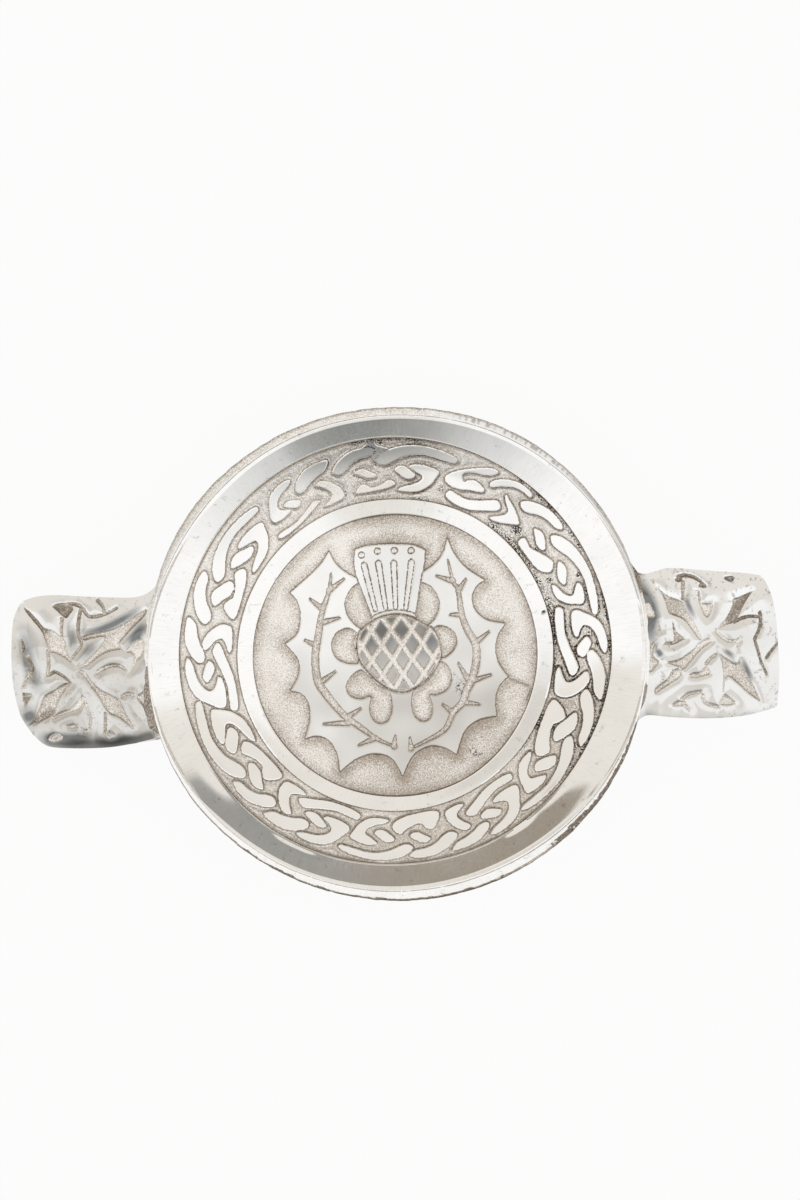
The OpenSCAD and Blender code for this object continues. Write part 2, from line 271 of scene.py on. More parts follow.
def noise(x, y, cell, seed):
    """Smooth noise from -1 to 1, with cells of a size in mm."""
    u, v = x / cell, y / cell
    iu, iv = np.floor(u), np.floor(v)
    fu, fv = u - iu, v - iv
    fu, fv = fu * fu * (3 - 2 * fu), fv * fv * (3 - 2 * fv)

    def dice(du, dv):
        """A value from -1 to 1 at a corner of the cell."""
        value = np.sin((iu + du) * SCATTER_X + (iv + dv) * SCATTER_Y + seed * SCATTER_SEED) * SPREAD
        return 2 * (value - np.floor(value)) - 1

    low = dice(0, 0) * (1 - fu) + dice(1, 0) * fu
    high = dice(0, 1) * (1 - fu) + dice(1, 1) * fu
    return low * (1 - fv) + high * fv


def angle_window(angle, start, end, soft):
    """1 between two directions of the photograph in degrees, falling to 0 outside them."""
    middle, half = (start + end) / 2, (end - start) / 2
    off = np.abs(np.mod(np.degrees(angle + TURN) - middle + 180, 360) - 180)
    return smooth(half + soft / 2, half - soft / 2, off)


def strongest(angle, stretches):
    """The strongest of several stretches at each direction: start, end, softness and strength."""
    return np.max([strength * angle_window(angle, *stretch) for *stretch, strength in stretches], axis=0)


def near_spots(x, y, places, reaches, core):
    """1 close to any of several places, within a share of its reach, falling to 0 at its reach."""
    parts = []
    for (spot_x, spot_y), reach in zip(places, reaches):
        parts.append(smooth(reach, core * reach, np.hypot(x - spot_x, y - spot_y)))
    return np.max(parts, axis=0)


def steeper(gap, start, growth):
    """A distance that grows faster from a start on."""
    return np.where(gap > start, start + growth * (gap - start), gap)


def pillow(gap, edge, depth, swell, reach):
    """Depth of a sunken area that falls off at its edge and swells up again inside, like a pillow."""
    return depth * smooth(*edge, gap) - swell * (1 - np.exp(-np.maximum(gap, 0) / reach))


def drawn(points, corner, square, z):
    """Points on a drawing grid over the photograph, in mm on the object at a height.

    corner is the grid's corner in photograph pixels, and square is the pixels in one square."""
    p = np.array(points, float) * square + np.array(corner)
    right = (p[:, 0] - PHOTO_MIDDLE[0]) / PX_PER_MM
    up = (PHOTO_MIDDLE[1] - p[:, 1]) / PX_PER_MM
    return at_depth(turned(right, up), z)


# Meshes

SHARP = radians(50)


def add_piece(name, points, faces, marks, material):
    """A mesh piece on the frame's only body. marks are values at its points, for the material."""
    mesh = bpy.data.meshes.new(name)
    mesh.from_pydata((points * MM).tolist(), [], faces)
    for mark, values in marks.items():
        layer = mesh.attributes.new(mark, "FLOAT", "POINT")
        layer.data.foreach_set("value", np.asarray(values, np.float32))
    shell = bmesh.new()
    shell.from_mesh(mesh)
    bmesh.ops.recalc_face_normals(shell, faces=shell.faces)
    shell.to_mesh(mesh)
    shell.free()
    mesh.polygons.foreach_set("use_smooth", [True] * len(mesh.polygons))
    mesh.set_sharp_from_angle(angle=SHARP)
    mesh.materials.append(material)
    piece = bpy.data.objects.new(name, mesh)
    bpy.context.scene.collection.objects.link(piece)
    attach(piece, "root")
    return piece


def grid_faces(rows, columns, wrap_rows, wrap_columns):
    """Faces of a grid of points that is numbered row by row."""
    r = np.arange(rows if wrap_rows else rows - 1)[:, None]
    c = np.arange(columns if wrap_columns else columns - 1)[None, :]
    r2, c2 = (r + 1) % rows, (c + 1) % columns
    here, below = r * columns, r2 * columns
    quad = np.stack(np.broadcast_arrays(here + c, below + c, below + c2, here + c2))
    return quad.reshape(4, -1).T.tolist()


def skirted(top, lower_loops):
    """Points and faces of a solid: an open grid on top, then loops of its edge moved down to a flat base.

    Each lower loop is (inset, height): a share of the way to the middle, and the new height."""
    rows, columns = top.shape[:2]
    number = np.arange(rows * columns).reshape(rows, columns)
    edge = np.concatenate([number[0, :-1], number[:-1, -1], number[-1, :0:-1], number[:0:-1, 0]])
    points = top.reshape(-1, 3)
    faces = grid_faces(rows, columns, False, False)
    middle = points[edge].mean(0)
    above = edge
    count = len(edge)
    for inset, height in lower_loops:
        loop = points[edge] + inset * (middle - points[edge])
        loop[:, 2] = height
        below = len(points) + np.arange(count)
        points = np.concatenate([points, loop])
        for i in range(count):
            j = (i + 1) % count
            faces.append([int(above[i]), int(above[j]), int(below[j]), int(below[i])])
        above = below
    faces.append([int(i) for i in above])
    return points, faces


def padded_mark(values, count, rest=0.0):
    """Values for a grid's points, with one value for the points that follow them."""
    flat = np.asarray(values, float).ravel()
    return np.concatenate([flat, np.full(count - len(flat), rest)])


# Materials

def make(tree, kind, inputs=None, **settings):
    """A shader node with its settings, and with its inputs set or linked."""
    added = tree.nodes.new("ShaderNode" + kind)
    for key, value in settings.items():
        setattr(added, key, value)
    for key, value in (inputs or {}).items():
        if isinstance(value, bpy.types.NodeSocket):
            tree.links.new(value, added.inputs[key])
        else:
            added.inputs[key].default_value = value
    return added


MIX_A = 6
MIX_B = 7
MIX_RESULT = 2


def mix_color(tree, factor, a, b):
    """One colour over another by a factor."""
    return make(tree, "Mix", {0: factor, MIX_A: a, MIX_B: b}, data_type="RGBA").outputs[MIX_RESULT]


def scaled(tree, value, low, high, to_low, to_high):
    """A value moved from one range to another and kept within it."""
    node = make(tree, "MapRange", {"Value": value, "From Min": low, "From Max": high,
                                   "To Min": to_low, "To Max": to_high})
    return node.outputs[0]


def marked(tree, name):
    """A value that was stored at the points of the mesh."""
    return make(tree, "Attribute", attribute_name=name, attribute_type="GEOMETRY").outputs["Fac"]


def new_material(name):
    """An empty material, and its tree, its shader and its object coordinates."""
    material = bpy.data.materials.new(name)
    material.use_nodes = True
    tree = material.node_tree
    shader = tree.nodes["Principled BSDF"]
    place = make(tree, "TexCoord").outputs["Object"]
    return material, tree, shader, place


def grain(tree, place, size, detail=2.0):
    """Noise with features of a size in mm, from 0 to 1."""
    return make(tree, "TexNoise", {"Vector": place, "Scale": 1 / (size * MM), "Detail": detail}).outputs[0]


# Colours of the metal, and how far clouds and tarnish darken one
POLISHED = (0.985, 0.975, 0.955, 1)
LUG_SHINE = (0.985, 0.987, 0.983, 1)
STREAKED = (0.72, 0.715, 0.70, 1)
# Dark gray: painted reflection on the thistle and the lugs, gray marks on the rim and in a pit
DARK_GRAY_AND_PAINTED_REFLECTION = (0.22, 0.225, 0.225, 1)
# Warm gray: painted reflection on the thistle and the lugs
PAINTED_WARM_GRAY = (0.50, 0.468, 0.415, 1)
GROUND_PALE = (0.98, 0.945, 0.895, 1)
GROUND_DEEP = (0.43, 0.37, 0.31, 1)
PATINA = (0.15, 0.105, 0.075, 1)
SOOT = (0.045, 0.034, 0.025, 1)
FILLET = (0.62, 0.58, 0.54, 1)
FOOT = (0.78, 0.77, 0.75, 1)
CLOUDED_SHARE = 0.945
TARNISHED_SHARE = 0.72

# Grain in mm, the range that most of a noise lies in, how ragged an edge is in mm, and roughness
SAND = 0.26
PIT = 0.33
GRIT = 0.5
CLOUD = 7.0
MOST_NOISE = (0.3, 0.7)
RAGGED = 0.08
ROUGH_GROUND = 0.32
ROUGH_POLISH = 0.12


def shaded(color, share):
    """A colour with its light cut to a share."""
    return tuple(share * c for c in color[:3]) + (1,)


def calculated(tree, operation, a, b):
    """Two values joined by an operation of the math node."""
    return make(tree, "Math", {0: a, 1: b}, operation=operation).outputs[0]


def times(tree, a, b):
    """The product of two values."""
    return calculated(tree, "MULTIPLY", a, b)


def plus(tree, a, b):
    """The sum of two values."""
    return calculated(tree, "ADD", a, b)


def pewter(name, line_share=0.72, fade=1.2, edge=0.82, shine=POLISHED, streaked=False):
    """Cast pewter that follows the marks on its mesh.

    gap is the distance in mm from the edge of the polished metal. Below 0 it is polished, just above 0 there
    is a brown line of old polish, and further in is the grainy ground, which is as dark as edge says and gets
    paler up to the distance fade: part patina in the hollow, part painted shade of the sunken ground. dull
    takes polish off, dirt fills pits with black, the warm gray and dark gray marks turn polished metal warm
    gray and dark gray, as painted reflections on the thistle and the lugs and as gray marks on the rim, and
    the stain mark darkens the ground with real stains and, in places, painted shade. Streaks run outward
    from the middle of the bowl."""
    material, tree, shader, place = new_material(name)
    sand = grain(tree, place, SAND, 3.0)
    grit = grain(tree, place, GRIT, 2.0)
    clouds = grain(tree, place, CLOUD, 4.0)
    ragged = plus(tree, marked(tree, "gap"), scaled(tree, grit, *MOST_NOISE, -RAGGED, RAGGED))
    kept = scaled(tree, marked(tree, "dull"), 0, 1, 1, 0)
    polish = times(tree, scaled(tree, ragged, -0.05, 0.05, 1, 0), kept)
    line = times(tree, scaled(tree, ragged, -0.04, 0.03, 0, 1), scaled(tree, ragged, 0.05, 0.18, 1, 0))
    line = times(tree, line, scaled(tree, kept, 0, 1, 0.2, line_share))

    cloudy = scaled(tree, clouds, 0.4, 0.75, 0, 1)
    bright = mix_color(tree, cloudy, shine, shaded(shine, CLOUDED_SHARE))
    if streaked:
        bright = mix_color(tree, streaks(tree, place), bright, STREAKED)
    # Painted reflections: warm gray and dark gray patches over the polished metal.
    bright = mix_color(tree, marked(tree, "painted_warm_reflection"), bright, PAINTED_WARM_GRAY)
    bright = mix_color(tree, marked(tree, "gray_and_painted_reflection"), bright, DARK_GRAY_AND_PAINTED_REFLECTION)
    # Ground darker near the polished edges and paler further in: part patina in the hollow, part painted
    # shade.
    fading = scaled(tree, ragged, 0.1, fade, edge, 0.3)
    depth = times(tree, scaled(tree, ragged, -0.08, 0.08, 0.35, 1), fading)
    depth = plus(tree, depth, scaled(tree, sand, *MOST_NOISE, 0.55, -0.55))
    # The stain mark: real stains, and painted shade in places.
    depth = plus(tree, depth, marked(tree, "stain_and_painted_shade"))
    ground = mix_color(tree, depth, GROUND_PALE, GROUND_DEEP)
    metal = mix_color(tree, line, mix_color(tree, polish, ground, bright), PATINA)
    pitted = scaled(tree, grain(tree, place, PIT, 2.0), 0.44, 0.57, 0, 1)
    sooted = mix_color(tree, times(tree, marked(tree, "dirt"), pitted), metal, SOOT)
    tree.links.new(sooted, shader.inputs["Base Color"])

    shader.inputs["Metallic"].default_value = 1.0
    rough = scaled(tree, polish, 0, 1, ROUGH_GROUND, ROUGH_POLISH)
    uneven = plus(tree, rough, scaled(tree, grit, *MOST_NOISE, -0.03, 0.05))
    tree.links.new(uneven, shader.inputs["Roughness"])
    strength = scaled(tree, polish, 0, 1, 0.6, 0.015)
    fine = make(tree, "Bump", {"Strength": strength, "Distance": 0.1 * MM, "Height": sand})
    tree.links.new(fine.outputs[0], shader.inputs["Normal"])
    return material


# How fine the streaks are: per radian round the bowl, and per metre outward
STREAKS_AROUND = 110.0
STREAKS_OUTWARD = 250.0


def streaks(tree, place):
    """Faint marks of polishing that run outward from the middle, from 0 to 1."""
    axes = make(tree, "SeparateXYZ", {0: place}).outputs
    turn = calculated(tree, "ARCTAN2", axes["Y"], axes["X"])
    out = make(tree, "VectorMath", {0: place}, operation="LENGTH").outputs["Value"]
    across = make(tree, "CombineXYZ", {"X": times(tree, turn, STREAKS_AROUND),
                                       "Y": times(tree, out, STREAKS_OUTWARD)}).outputs[0]
    noisy = make(tree, "TexNoise", {"Vector": across, "Scale": 1.0, "Detail": 3.0}).outputs[0]
    return scaled(tree, noisy, 0.5, 0.8, 0, 0.3)


def plain_metal(name, color, rough):
    """Satin or dull metal without marks, turned or soldered."""
    material, tree, shader, place = new_material(name)
    clouds = grain(tree, place, 2.0, 5.0)
    tarnish = scaled(tree, clouds, 0.35, 0.7, 0, 1)
    tarnished = mix_color(tree, tarnish, color, shaded(color, TARNISHED_SHARE))
    tree.links.new(tarnished, shader.inputs["Base Color"])
    shader.inputs["Metallic"].default_value = 1.0
    uneven = scaled(tree, clouds, *MOST_NOISE, rough - 0.08, rough + 0.1)
    tree.links.new(uneven, shader.inputs["Roughness"])
    fine = make(tree, "Bump", {"Strength": 0.2, "Distance": 0.05 * MM, "Height": grain(tree, place, 0.3)})
    tree.links.new(fine.outputs[0], shader.inputs["Normal"])
    return material


bowl_metal = pewter("bowl_metal", streaked=True)
relief_metal = pewter("relief_metal", line_share=0.85, edge=0.66)
# The thistle's ground pales far out from its edges: part patina, part the painted shade of its pillows.
thistle_metal = pewter("thistle_metal", fade=2.4)
lug_metal = pewter("lug_metal", line_share=0.18, fade=0.7, edge=0.5, shine=LUG_SHINE)
solder_metal = pewter("solder")
fillet_metal = plain_metal("fillet", FILLET, 0.4)
foot_metal = plain_metal("foot_metal", FOOT, 0.3)


# Bowl

# How far the casting has sunk at the band's outer edge, every 30 degrees of the photograph, from the right
SUNK = (0, 0, -0.2, -0.4, -0.25, 0, 0, -0.3, 0.3, 0.42, 0.42, -0.1)

# Stretches of the wall in degrees of the photograph: start, end, softness and, in a list, strength
HOLLOWS = [(200, 222, 12, 1), (50, 80, 20, 0.5)]
MOUNDS = [(235, 249, 8, 1), (300, 309, 6, 1)]
ROUNDED = (306, 326, 12)
# What polishing did to the wall, in mm, and the width of a mound as a share of the wall
HOLLOW_DEPTH = 0.2
MOUND_H = 0.44
MOUND_W = 0.2
ROUNDED_DEPTH = 0.12
ROUNDED_TILT = 0.1

# Stretches of the rim, as those of the wall
LUG_RIM = [(-14, 18, 8, 1), (167, 198, 8, 1)]
BROWN_ROOT = (308, 346, 8)
BROWN_RIM = [(226, 300, 20, 1), (*BROWN_ROOT, 1), (198, 226, 8, 0.5)]
FILED = (42, 76, 8)
BUFFED = (15, 80, 10)
GRAYED = (126, 170, 16)
GRAY_OUTSIDE = [(14, 46, 8, 0.42)]
GRAY_LINE = [(24, 66, 8, 0.85)]
GRAINY = [(84, 150, 10, 0.35)]
LOW_SIDE = (200, 350, 10)
# Where wall metal runs across into the band
BRIDGE_ENDS = (95.8, 98.5)
# A pit in the inner ring: degrees and mm from the photograph's middle of the bowl, its radius in mm, the
# share of that where it is at its deepest, and its depth in mm
RING_PIT = (16.0, 30.5)
RING_PIT_R = 0.45
RING_PIT_CORE = 0.5
RING_PIT_DEPTH = 0.15


def sunk_side(radius, angle):
    """How far the casting has sunk at a place on the band or the wall."""
    reach = np.interp(radius, [BAND_OUT_R - BAND_W / 2, BAND_OUT_R, LIP_R], [0, 1, 0])
    return reach * ring_radius(SUNK, angle)


def wall_wave(share, angle):
    """Where polishing has hollowed the wall, rounded it over, or left a mound by the band."""
    round_over = angle_window(angle, *ROUNDED)
    mound = MOUND_H * strongest(angle, MOUNDS) * np.exp(-(share / MOUND_W) ** 2) * (share > 0)
    hollow = HOLLOW_DEPTH * strongest(angle, HOLLOWS) + ROUNDED_DEPTH * round_over
    return mound - hollow * np.sin(np.pi * share) - ROUNDED_TILT * round_over * np.sin(2 * np.pi * share)


# Steps round the bowl, and the share of its rise that the rim loses between the lugs
TURNS = 720
RIM_DIP = 0.78
# Values of the mark gap: polished metal, its edge, the brown line beside it, and bare ground
SHINE = -1.0
BY_LINE = -0.15
ON_LINE = 0.1
BARE = 0.8
# Width and depth of that line, and the room between an inlay and its seat, in mm
LINE_W = 0.1
SEAT_GAP = 0.02
# The brown line along the rim's inner edge, as a share of the rim's width
RIM_LINE = 0.335
# Rows of the rim: share of its width, rise over the lip in mm, gap, dull and dirt
RIM_ROWS = [
    (0.08, 0.3, SHINE, 0, 0), (0.16, 0.54, SHINE, 0, 0), (0.24, 0.7, SHINE, 0, 0), (0.3, 0.76, BY_LINE, 0, 0),
    (0.32, 0.72, 0.06, 0, 0), (0.35, 0.72, 0.06, 0, 0), (0.37, 0.77, -0.3, 0.3, 0),
    (0.45, 0.8, -0.3, 0.45, 0), (0.55, 0.8, -0.3, 0.45, 0), (0.65, 0.79, -0.3, 0.45, 0),
    (0.72, 0.77, -0.3, 0.5, 0), (0.78, 0.75, -0.3, 0.5, 0), (0.82, 0.74, -0.3, 0.5, 0),
    (0.87, 0.68, 0.9, 0, 0.1), (0.91, 0.6, 0.6, 0, 0.1), (0.95, 0.48, 0.4, 0, 0.2),
    (0.98, 0.28, 0.2, 0, 0.2), (1, 0, 0.2, 0, 0.2), (1, -0.6, 0.3, 0, 0),
]


def rows_between(start, end, count, height, gap, dull=0.0):
    """Evenly spaced rows of the bowl's section, with a height for each radius."""
    return [(r, height(r), gap, dull, 0) for r in np.linspace(start, end, count)]


def seat_edge(radius, height, outward):
    """The brown line and the polished edge beside it, where an inlay meets the bowl."""
    beside = radius + outward * LINE_W
    return [(radius, dish(radius) - LINE_W, ON_LINE, 0, 0), (beside, height(beside), BY_LINE, 0, 0)]


def bowl_profile():
    """Section of the bowl from the inside to the underside: true radius, height, gap, dull and dirt."""
    foot_in_r = FOOT_TOP_R - FOOT_W
    recess_z = FLOOR_Z - INLAY_DEPTH
    rows = [(1, recess_z, BARE, 0, 0), (ROUNDEL_R - SEAT_GAP, recess_z, BARE, 0, 0)]
    rows += seat_edge(ROUNDEL_R, dish, 1)
    rows += rows_between(ROUNDEL_R + 0.5, BAND_IN_R - 0.5, 8, dish, SHINE)
    rows += seat_edge(BAND_IN_R, dish, -1)[::-1]
    seat = (BAND_IN_R + SEAT_GAP, BAND_OUT_R - SEAT_GAP)
    rows += rows_between(*seat, 6, lambda r: dish(r) - INLAY_DEPTH, BARE)
    rows += seat_edge(BAND_OUT_R, wall, 1)
    rows += rows_between(BAND_OUT_R + 0.5, LIP_R, 16, wall, SHINE)
    rows += [(LIP_R + share * (RIM_R - LIP_R), LIP_Z + rise, *marks) for share, rise, *marks in RIM_ROWS]
    rows += rows_between(RIM_R, FOOT_TOP_R + FILLET_R, 30, under_dish, SHINE, 0.3)
    rows += [(FOOT_TOP_R, UNDER_Z, 0.2, 0, 0), (FOOT_TOP_R, UNDER_Z + REBATE, BARE, 0, 0)]
    rows += [(foot_in_r, UNDER_Z + REBATE, BARE, 0, 0), (foot_in_r, UNDER_Z, 0.2, 0, 0)]
    rows += rows_between(foot_in_r - 0.5, 1, 10, lambda r: UNDER_Z, SHINE, 0.3)
    return np.array(rows, float)


def bowl_marks(x, y, angle, profile, rim_share, pit):
    """File marks, brown and gray stretches and grain on the rim, specks of dirt and the pit."""
    true_r, height, gap, dull, dirt = (profile[:, :, i] for i in range(5))
    top = height > LIP_Z - 1
    on_rim = smooth(0.3, 0.5, rim_share) * top
    at_lug = strongest(angle, LUG_RIM) * top
    ticks = noise(angle * TURNS / (2 * np.pi), 0 * x, 1, 7)
    ticks = smooth(0.0, 0.4, ticks) * smooth(0.4, 0.6, rim_share)
    filed = angle_window(angle, *FILED) * ticks * top
    speck = smooth(0.72, 0.9, noise(x, y, 0.7, 5))
    torn = 0.78 - 0.26 * angle_window(angle, *BROWN_ROOT) + 0.1 * noise(x, y, 0.9, 10)
    browned = strongest(angle, BROWN_RIM) * smooth(torn, torn + 0.08, rim_share) * top
    buffed = angle_window(angle, *BUFFED)
    grayed = on_rim * np.maximum(angle_window(angle, *GRAYED) * (0.16 + 0.3 * ticks), 0.14 * buffed)
    grayed = grayed + strongest(angle, GRAY_OUTSIDE) * smooth(0.42, 0.6, rim_share) * top
    rim_line = (np.abs(rim_share - RIM_LINE) < 0.02) * top
    grayed = np.maximum(grayed, rim_line * strongest(angle, GRAY_LINE))
    rough_rim = on_rim * (0.5 * noise(x, y, 0.8, 8) + 0.3 * noise(x, y, 2.5, 9))
    dull = dull * (1 - 0.7 * np.maximum(buffed, angle_window(angle, *LOW_SIDE)) * top)
    dull = np.clip(dull + dull * rough_rim + strongest(angle, GRAINY) * on_rim, 0, 1)
    gap = np.where(at_lug > 0.5, SHINE, gap + (0.06 - gap) * browned)
    joined = angle_window(angle, *BRIDGE_ENDS, 1) * (np.abs(true_r - BAND_OUT_R) < 0.2)
    gap = gap + (SHINE - gap) * joined
    dirt = np.clip(dirt + 0.35 * speck + 0.35 * browned, 0, 1) * (1 - at_lug)
    marks = {"gap": gap, "dull": dull * (1 - at_lug) * (1 - browned), "dirt": dirt + 1.6 * pit,
             "stain_and_painted_shade": 0.6 * browned, "gray_and_painted_reflection": np.maximum(np.maximum(0.75 * filed, grayed), pit)}
    return {mark: np.broadcast_to(values, x.shape).ravel() for mark, values in marks.items()}


def build_bowl():
    """The dish with its uneven rim, hand-polished wall and the seats of its inlays."""
    profile = bowl_profile()[None]
    true_r, height, gap = (profile[:, :, i] for i in range(3))
    angle = np.linspace(0, 2 * np.pi, TURNS, endpoint=False)[:, None]
    radius = cast_radius(true_r, angle)
    x, y = radius * np.cos(angle), radius * np.sin(angle)
    wall_share = np.clip((true_r - BAND_OUT_R) / (LIP_R - BAND_OUT_R), 0, 1)
    rim_share = (true_r - LIP_R) / (RIM_R - LIP_R)
    inside = height > FLOOR_Z

    wave = 0.03 * noise(x, y, 9, 1) + 0.012 * noise(x, y, 3, 2)
    chip = 0.06 * noise(x, y, 0.9, 3) + 0.05 * noise(x, y, 2.2, 4)
    outer = smooth(0.4, 1, rim_share)
    x, y = x * (1 + outer * chip / RIM_R), y * (1 + outer * chip / RIM_R)
    z = height + wave * (gap < 0) + (wall_wave(wall_share, angle) - sunk_side(true_r, angle)) * inside
    between_lugs = smooth(0.1, 0.5, np.sin(angle + TURN) ** 2)
    z = z - RIM_DIP * between_lugs * np.maximum(height - LIP_Z, 0) * (rim_share >= 0)
    pit = near_spots(x, y, unrolled(np.array([RING_PIT])), [RING_PIT_R], RING_PIT_CORE) * inside
    z = z - RING_PIT_DEPTH * pit
    points = np.stack(np.broadcast_arrays(x, y, z), axis=2)
    rows, columns = points.shape[:2]
    faces = grid_faces(rows, columns, True, False)
    faces.append([row * columns for row in range(rows)])
    faces.append([row * columns + columns - 1 for row in range(rows)])
    marks = bowl_marks(x, y, angle, profile, rim_share, pit)
    piece = add_piece("bowl_shell", points.reshape(-1, 3), faces, marks, bowl_metal)
    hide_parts("bowl")


# Knotwork band

# Shapes of a knot's strands. Each is stretched to fill its box
LONG_STRAND = [(0, .66), (.04, .81), (.11, .91), (.21, .95), (.32, .92), (.4, .85),
               (.4, .75), (.33, .75), (.23, .78), (.14, .71), (.06, .57), (.02, .57)]
HOOK_STRAND = [(.2, .63), (.23, .69), (.3, .68), (.36, .61), (.35, .45), (.325, .28), (.27, .13),
               (.2, .09), (.14, .12), (.16, .19), (.23, .27), (.27, .36), (.275, .46), (.24, .53)]
HOOK_STUB = [(.1, .55), (.13, .63), (.17, .62), (.21, .53), (.24, .45), (.23, .37), (.19, .34), (.14, .42)]
C_STRAND = [(.61, .9), (.57, .95), (.5, .92), (.44, .82), (.4, .64), (.365, .45), (.375, .34), (.44, .29),
            (.5, .31), (.515, .38), (.475, .45), (.455, .54), (.475, .66), (.52, .75), (.58, .81)]
C_STUB = [(.49, .57), (.52, .64), (.56, .61), (.61, .52), (.6, .43), (.56, .4), (.52, .47)]
OUTER_STRAND = [(.81, .92), (.76, .95), (.69, .93), (.63, .83), (.59, .7),
                (.6, .6), (.64, .6), (.68, .67), (.73, .73), (.78, .78)]
LAST_STRAND = [(1.01, .89), (.97, .95), (.9, .94), (.84, .86), (.79, .74), (.77, .62),
               (.8, .53), (.84, .57), (.88, .68), (.93, .75), (.985, .78)]
SOLE_STRAND = [(.33, .14), (.345, .24), (.4, .22), (.47, .2), (.55, .27), (.61, .36), (.655, .42),
               (.695, .36), (.69, .28), (.62, .17), (.53, .07), (.44, .05), (.37, .08)]
CHEVRON = [(.68, .55), (.7, .62), (.73, .6), (.77, .48), (.8, .32), (.8, .16),
           (.77, .1), (.7, .08), (.67, .13), (.71, .2), (.735, .28), (.72, .4)]
BOW_STRAND = [(.82, .12), (.83, .23), (.87, .37), (.9, .4), (.935, .33), (.96, .26), (1.01, .28),
              (1.06, .35), (1.1, .43), (1.14, .37), (1.155, .27), (1.12, .17), (1.04, .09), (.93, .06),
              (.86, .07)]
BOW_STUB = [(.88, .56), (.91, .64), (.95, .65), (1, .56), (1.04, .45), (1.02, .36), (.97, .36), (.93, .44)]
KNOT = [LONG_STRAND, HOOK_STRAND, HOOK_STUB, C_STRAND, C_STUB, OUTER_STRAND,
        LAST_STRAND, SOLE_STRAND, CHEVRON, BOW_STRAND, BOW_STUB]

# Box of each strand of each knot on the unrolled photograph, in degrees (from, to) and mm (inner, outer).
# None stands for a strand that the first knot draws its own way
KNOT_BOXES = [
    [(96.2, 72.4, 37.7, 41.95), (90, 76.8, 32.45, 38.15), (90.9, 84.2, 35, 37.7), None, None,
     None, (50.8, 37, 38.25, 42.1), (73, 54.6, 32.05, 36.65), None, None,
     (42.4, 35.2, 35.45, 37.85)],
    [(37.5, 11.2, 38.05, 42), (24, 15.2, 33.65, 39.4), (29.8, 22.5, 35.6, 37.9), (13.9, .3, 35.4, 42.15),
     (5.3, -.9, 35.95, 38.9), (1.3, -12.7, 38, 42), (-10.5, -26.6, 37.65, 41.65), (16.3, -7, 32.15, 36.35),
     (-4.5, -14.6, 31.95, 38.85), (-16.2, -35.8, 31.85, 36.2), (-18.1, -28.8, 35.05, 38.6)],
    [(334.8, 308.7, 37.6, 41.2), (323.8, 313, 32.65, 38.9), (327.4, 319.9, 35.3, 38.45),
     (312.4, 297.4, 34.5, 41.1), (303.9, 297.3, 35.8, 38.15), (298.6, 285.7, 37.8, 41),
     (288.6, 273.5, 37, 41), (313.5, 293.4, 32, 35.8), (293.8, 286.7, 32.4, 37.8), (284.8, 268.4, 32, 36),
     (280.4, 274.1, 35.75, 38.1)],
    [(274.8, 252.9, 38, 41.4), (267.2, 255.5, 32.95, 38.55), (269.3, 262.8, 35.2, 37.7),
     (254.8, 240.5, 35.1, 41.55), (247.9, 240, 35.7, 37.9), (242.8, 230, 37.85, 41.95),
     (231.2, 217.9, 37.8, 42.1), (257.4, 235.8, 32.15, 35.9), (237, 228.6, 33.1, 39),
     (226.9, 209.8, 32.95, 36.75), (225.2, 216.4, 35.85, 38.95)],
    [(219, 193.3, 38.15, 42.6), (211.6, 196.7, 32.9, 39.75), (211.5, 203.7, 35.55, 39),
     (197.2, 181.1, 35.05, 42.5), (188.6, 182.1, 36.6, 39.1), (182.7, 169.9, 38.45, 42.7),
     (171.2, 156.7, 37.9, 42.6), (199.4, 176.4, 32.9, 36.9), (179.6, 170.2, 33, 39),
     (168.1, 150.9, 32.9, 36.2), (165.3, 156.4, 35.15, 38.95)],
    [(158.3, 133.6, 37.95, 41.9), (150.6, 135.7, 32.65, 38.65), (152.7, 143.4, 35.1, 38.05),
     (133.4, 121.6, 35.2, 41.3), (127.8, 121.9, 35.2, 37.8), (122.2, 109.8, 37.15, 41.5),
     (109.7, 96.5, 37.3, 41.8), (135.5, 116.3, 32.15, 35), (116.8, 108, 32.4, 38), (104.8, 90.5, 32.6, 35),
     (103.6, 96.4, 35.3, 37.8)],
]
# Those strands of the first knot, in degrees and mm
OWN_STRANDS = [
    [(60.7, 41.5), (62.5, 41.8), (65, 41.1), (68, 40), (71, 38.9), (73.5, 37.8), (74.8, 36.7), (74.2, 35.8),
     (72, 35.2), (69, 35.2), (66.5, 35.7), (64, 36.1), (62, 36.6), (62, 37.2), (63.8, 37.8), (66, 38),
     (67.8, 37.5), (68.6, 37), (69.3, 37.2), (69.8, 38), (69, 38.8), (67, 39.4), (64, 39.8), (62, 40.4)],
    [(49.3, 41.5), (50.5, 42.05), (53, 42.15), (55.5, 41.9), (58, 41.2), (60.2, 40.2), (61.4, 39.1),
     (61, 38.4), (59.8, 38.5), (58.6, 39.2), (57, 39.9), (54.5, 40.8), (52, 41.05), (50, 41)],
    [(54, 38.2), (55.3, 38.7), (55.6, 38.2), (54.2, 37.3), (52.4, 36.4), (52.1, 35.6), (53.2, 34.6),
     (55, 33.6), (56, 33), (55, 32.85), (52.5, 33.2), (49.5, 34.2), (47.2, 35.2), (46.9, 35.7), (48.5, 36.5),
     (51.5, 37.5)],
    [(43, 33.8), (42.3, 34.5), (41, 34.4), (39.5, 34.1), (38, 34.2), (36, 34.8), (33.5, 35.6), (31.5, 36.1),
     (30, 36.1), (28.4, 35.2), (28.3, 34.4), (30, 33.2), (33, 32.6), (37, 32.5), (41, 32.6), (42.7, 33)],
]
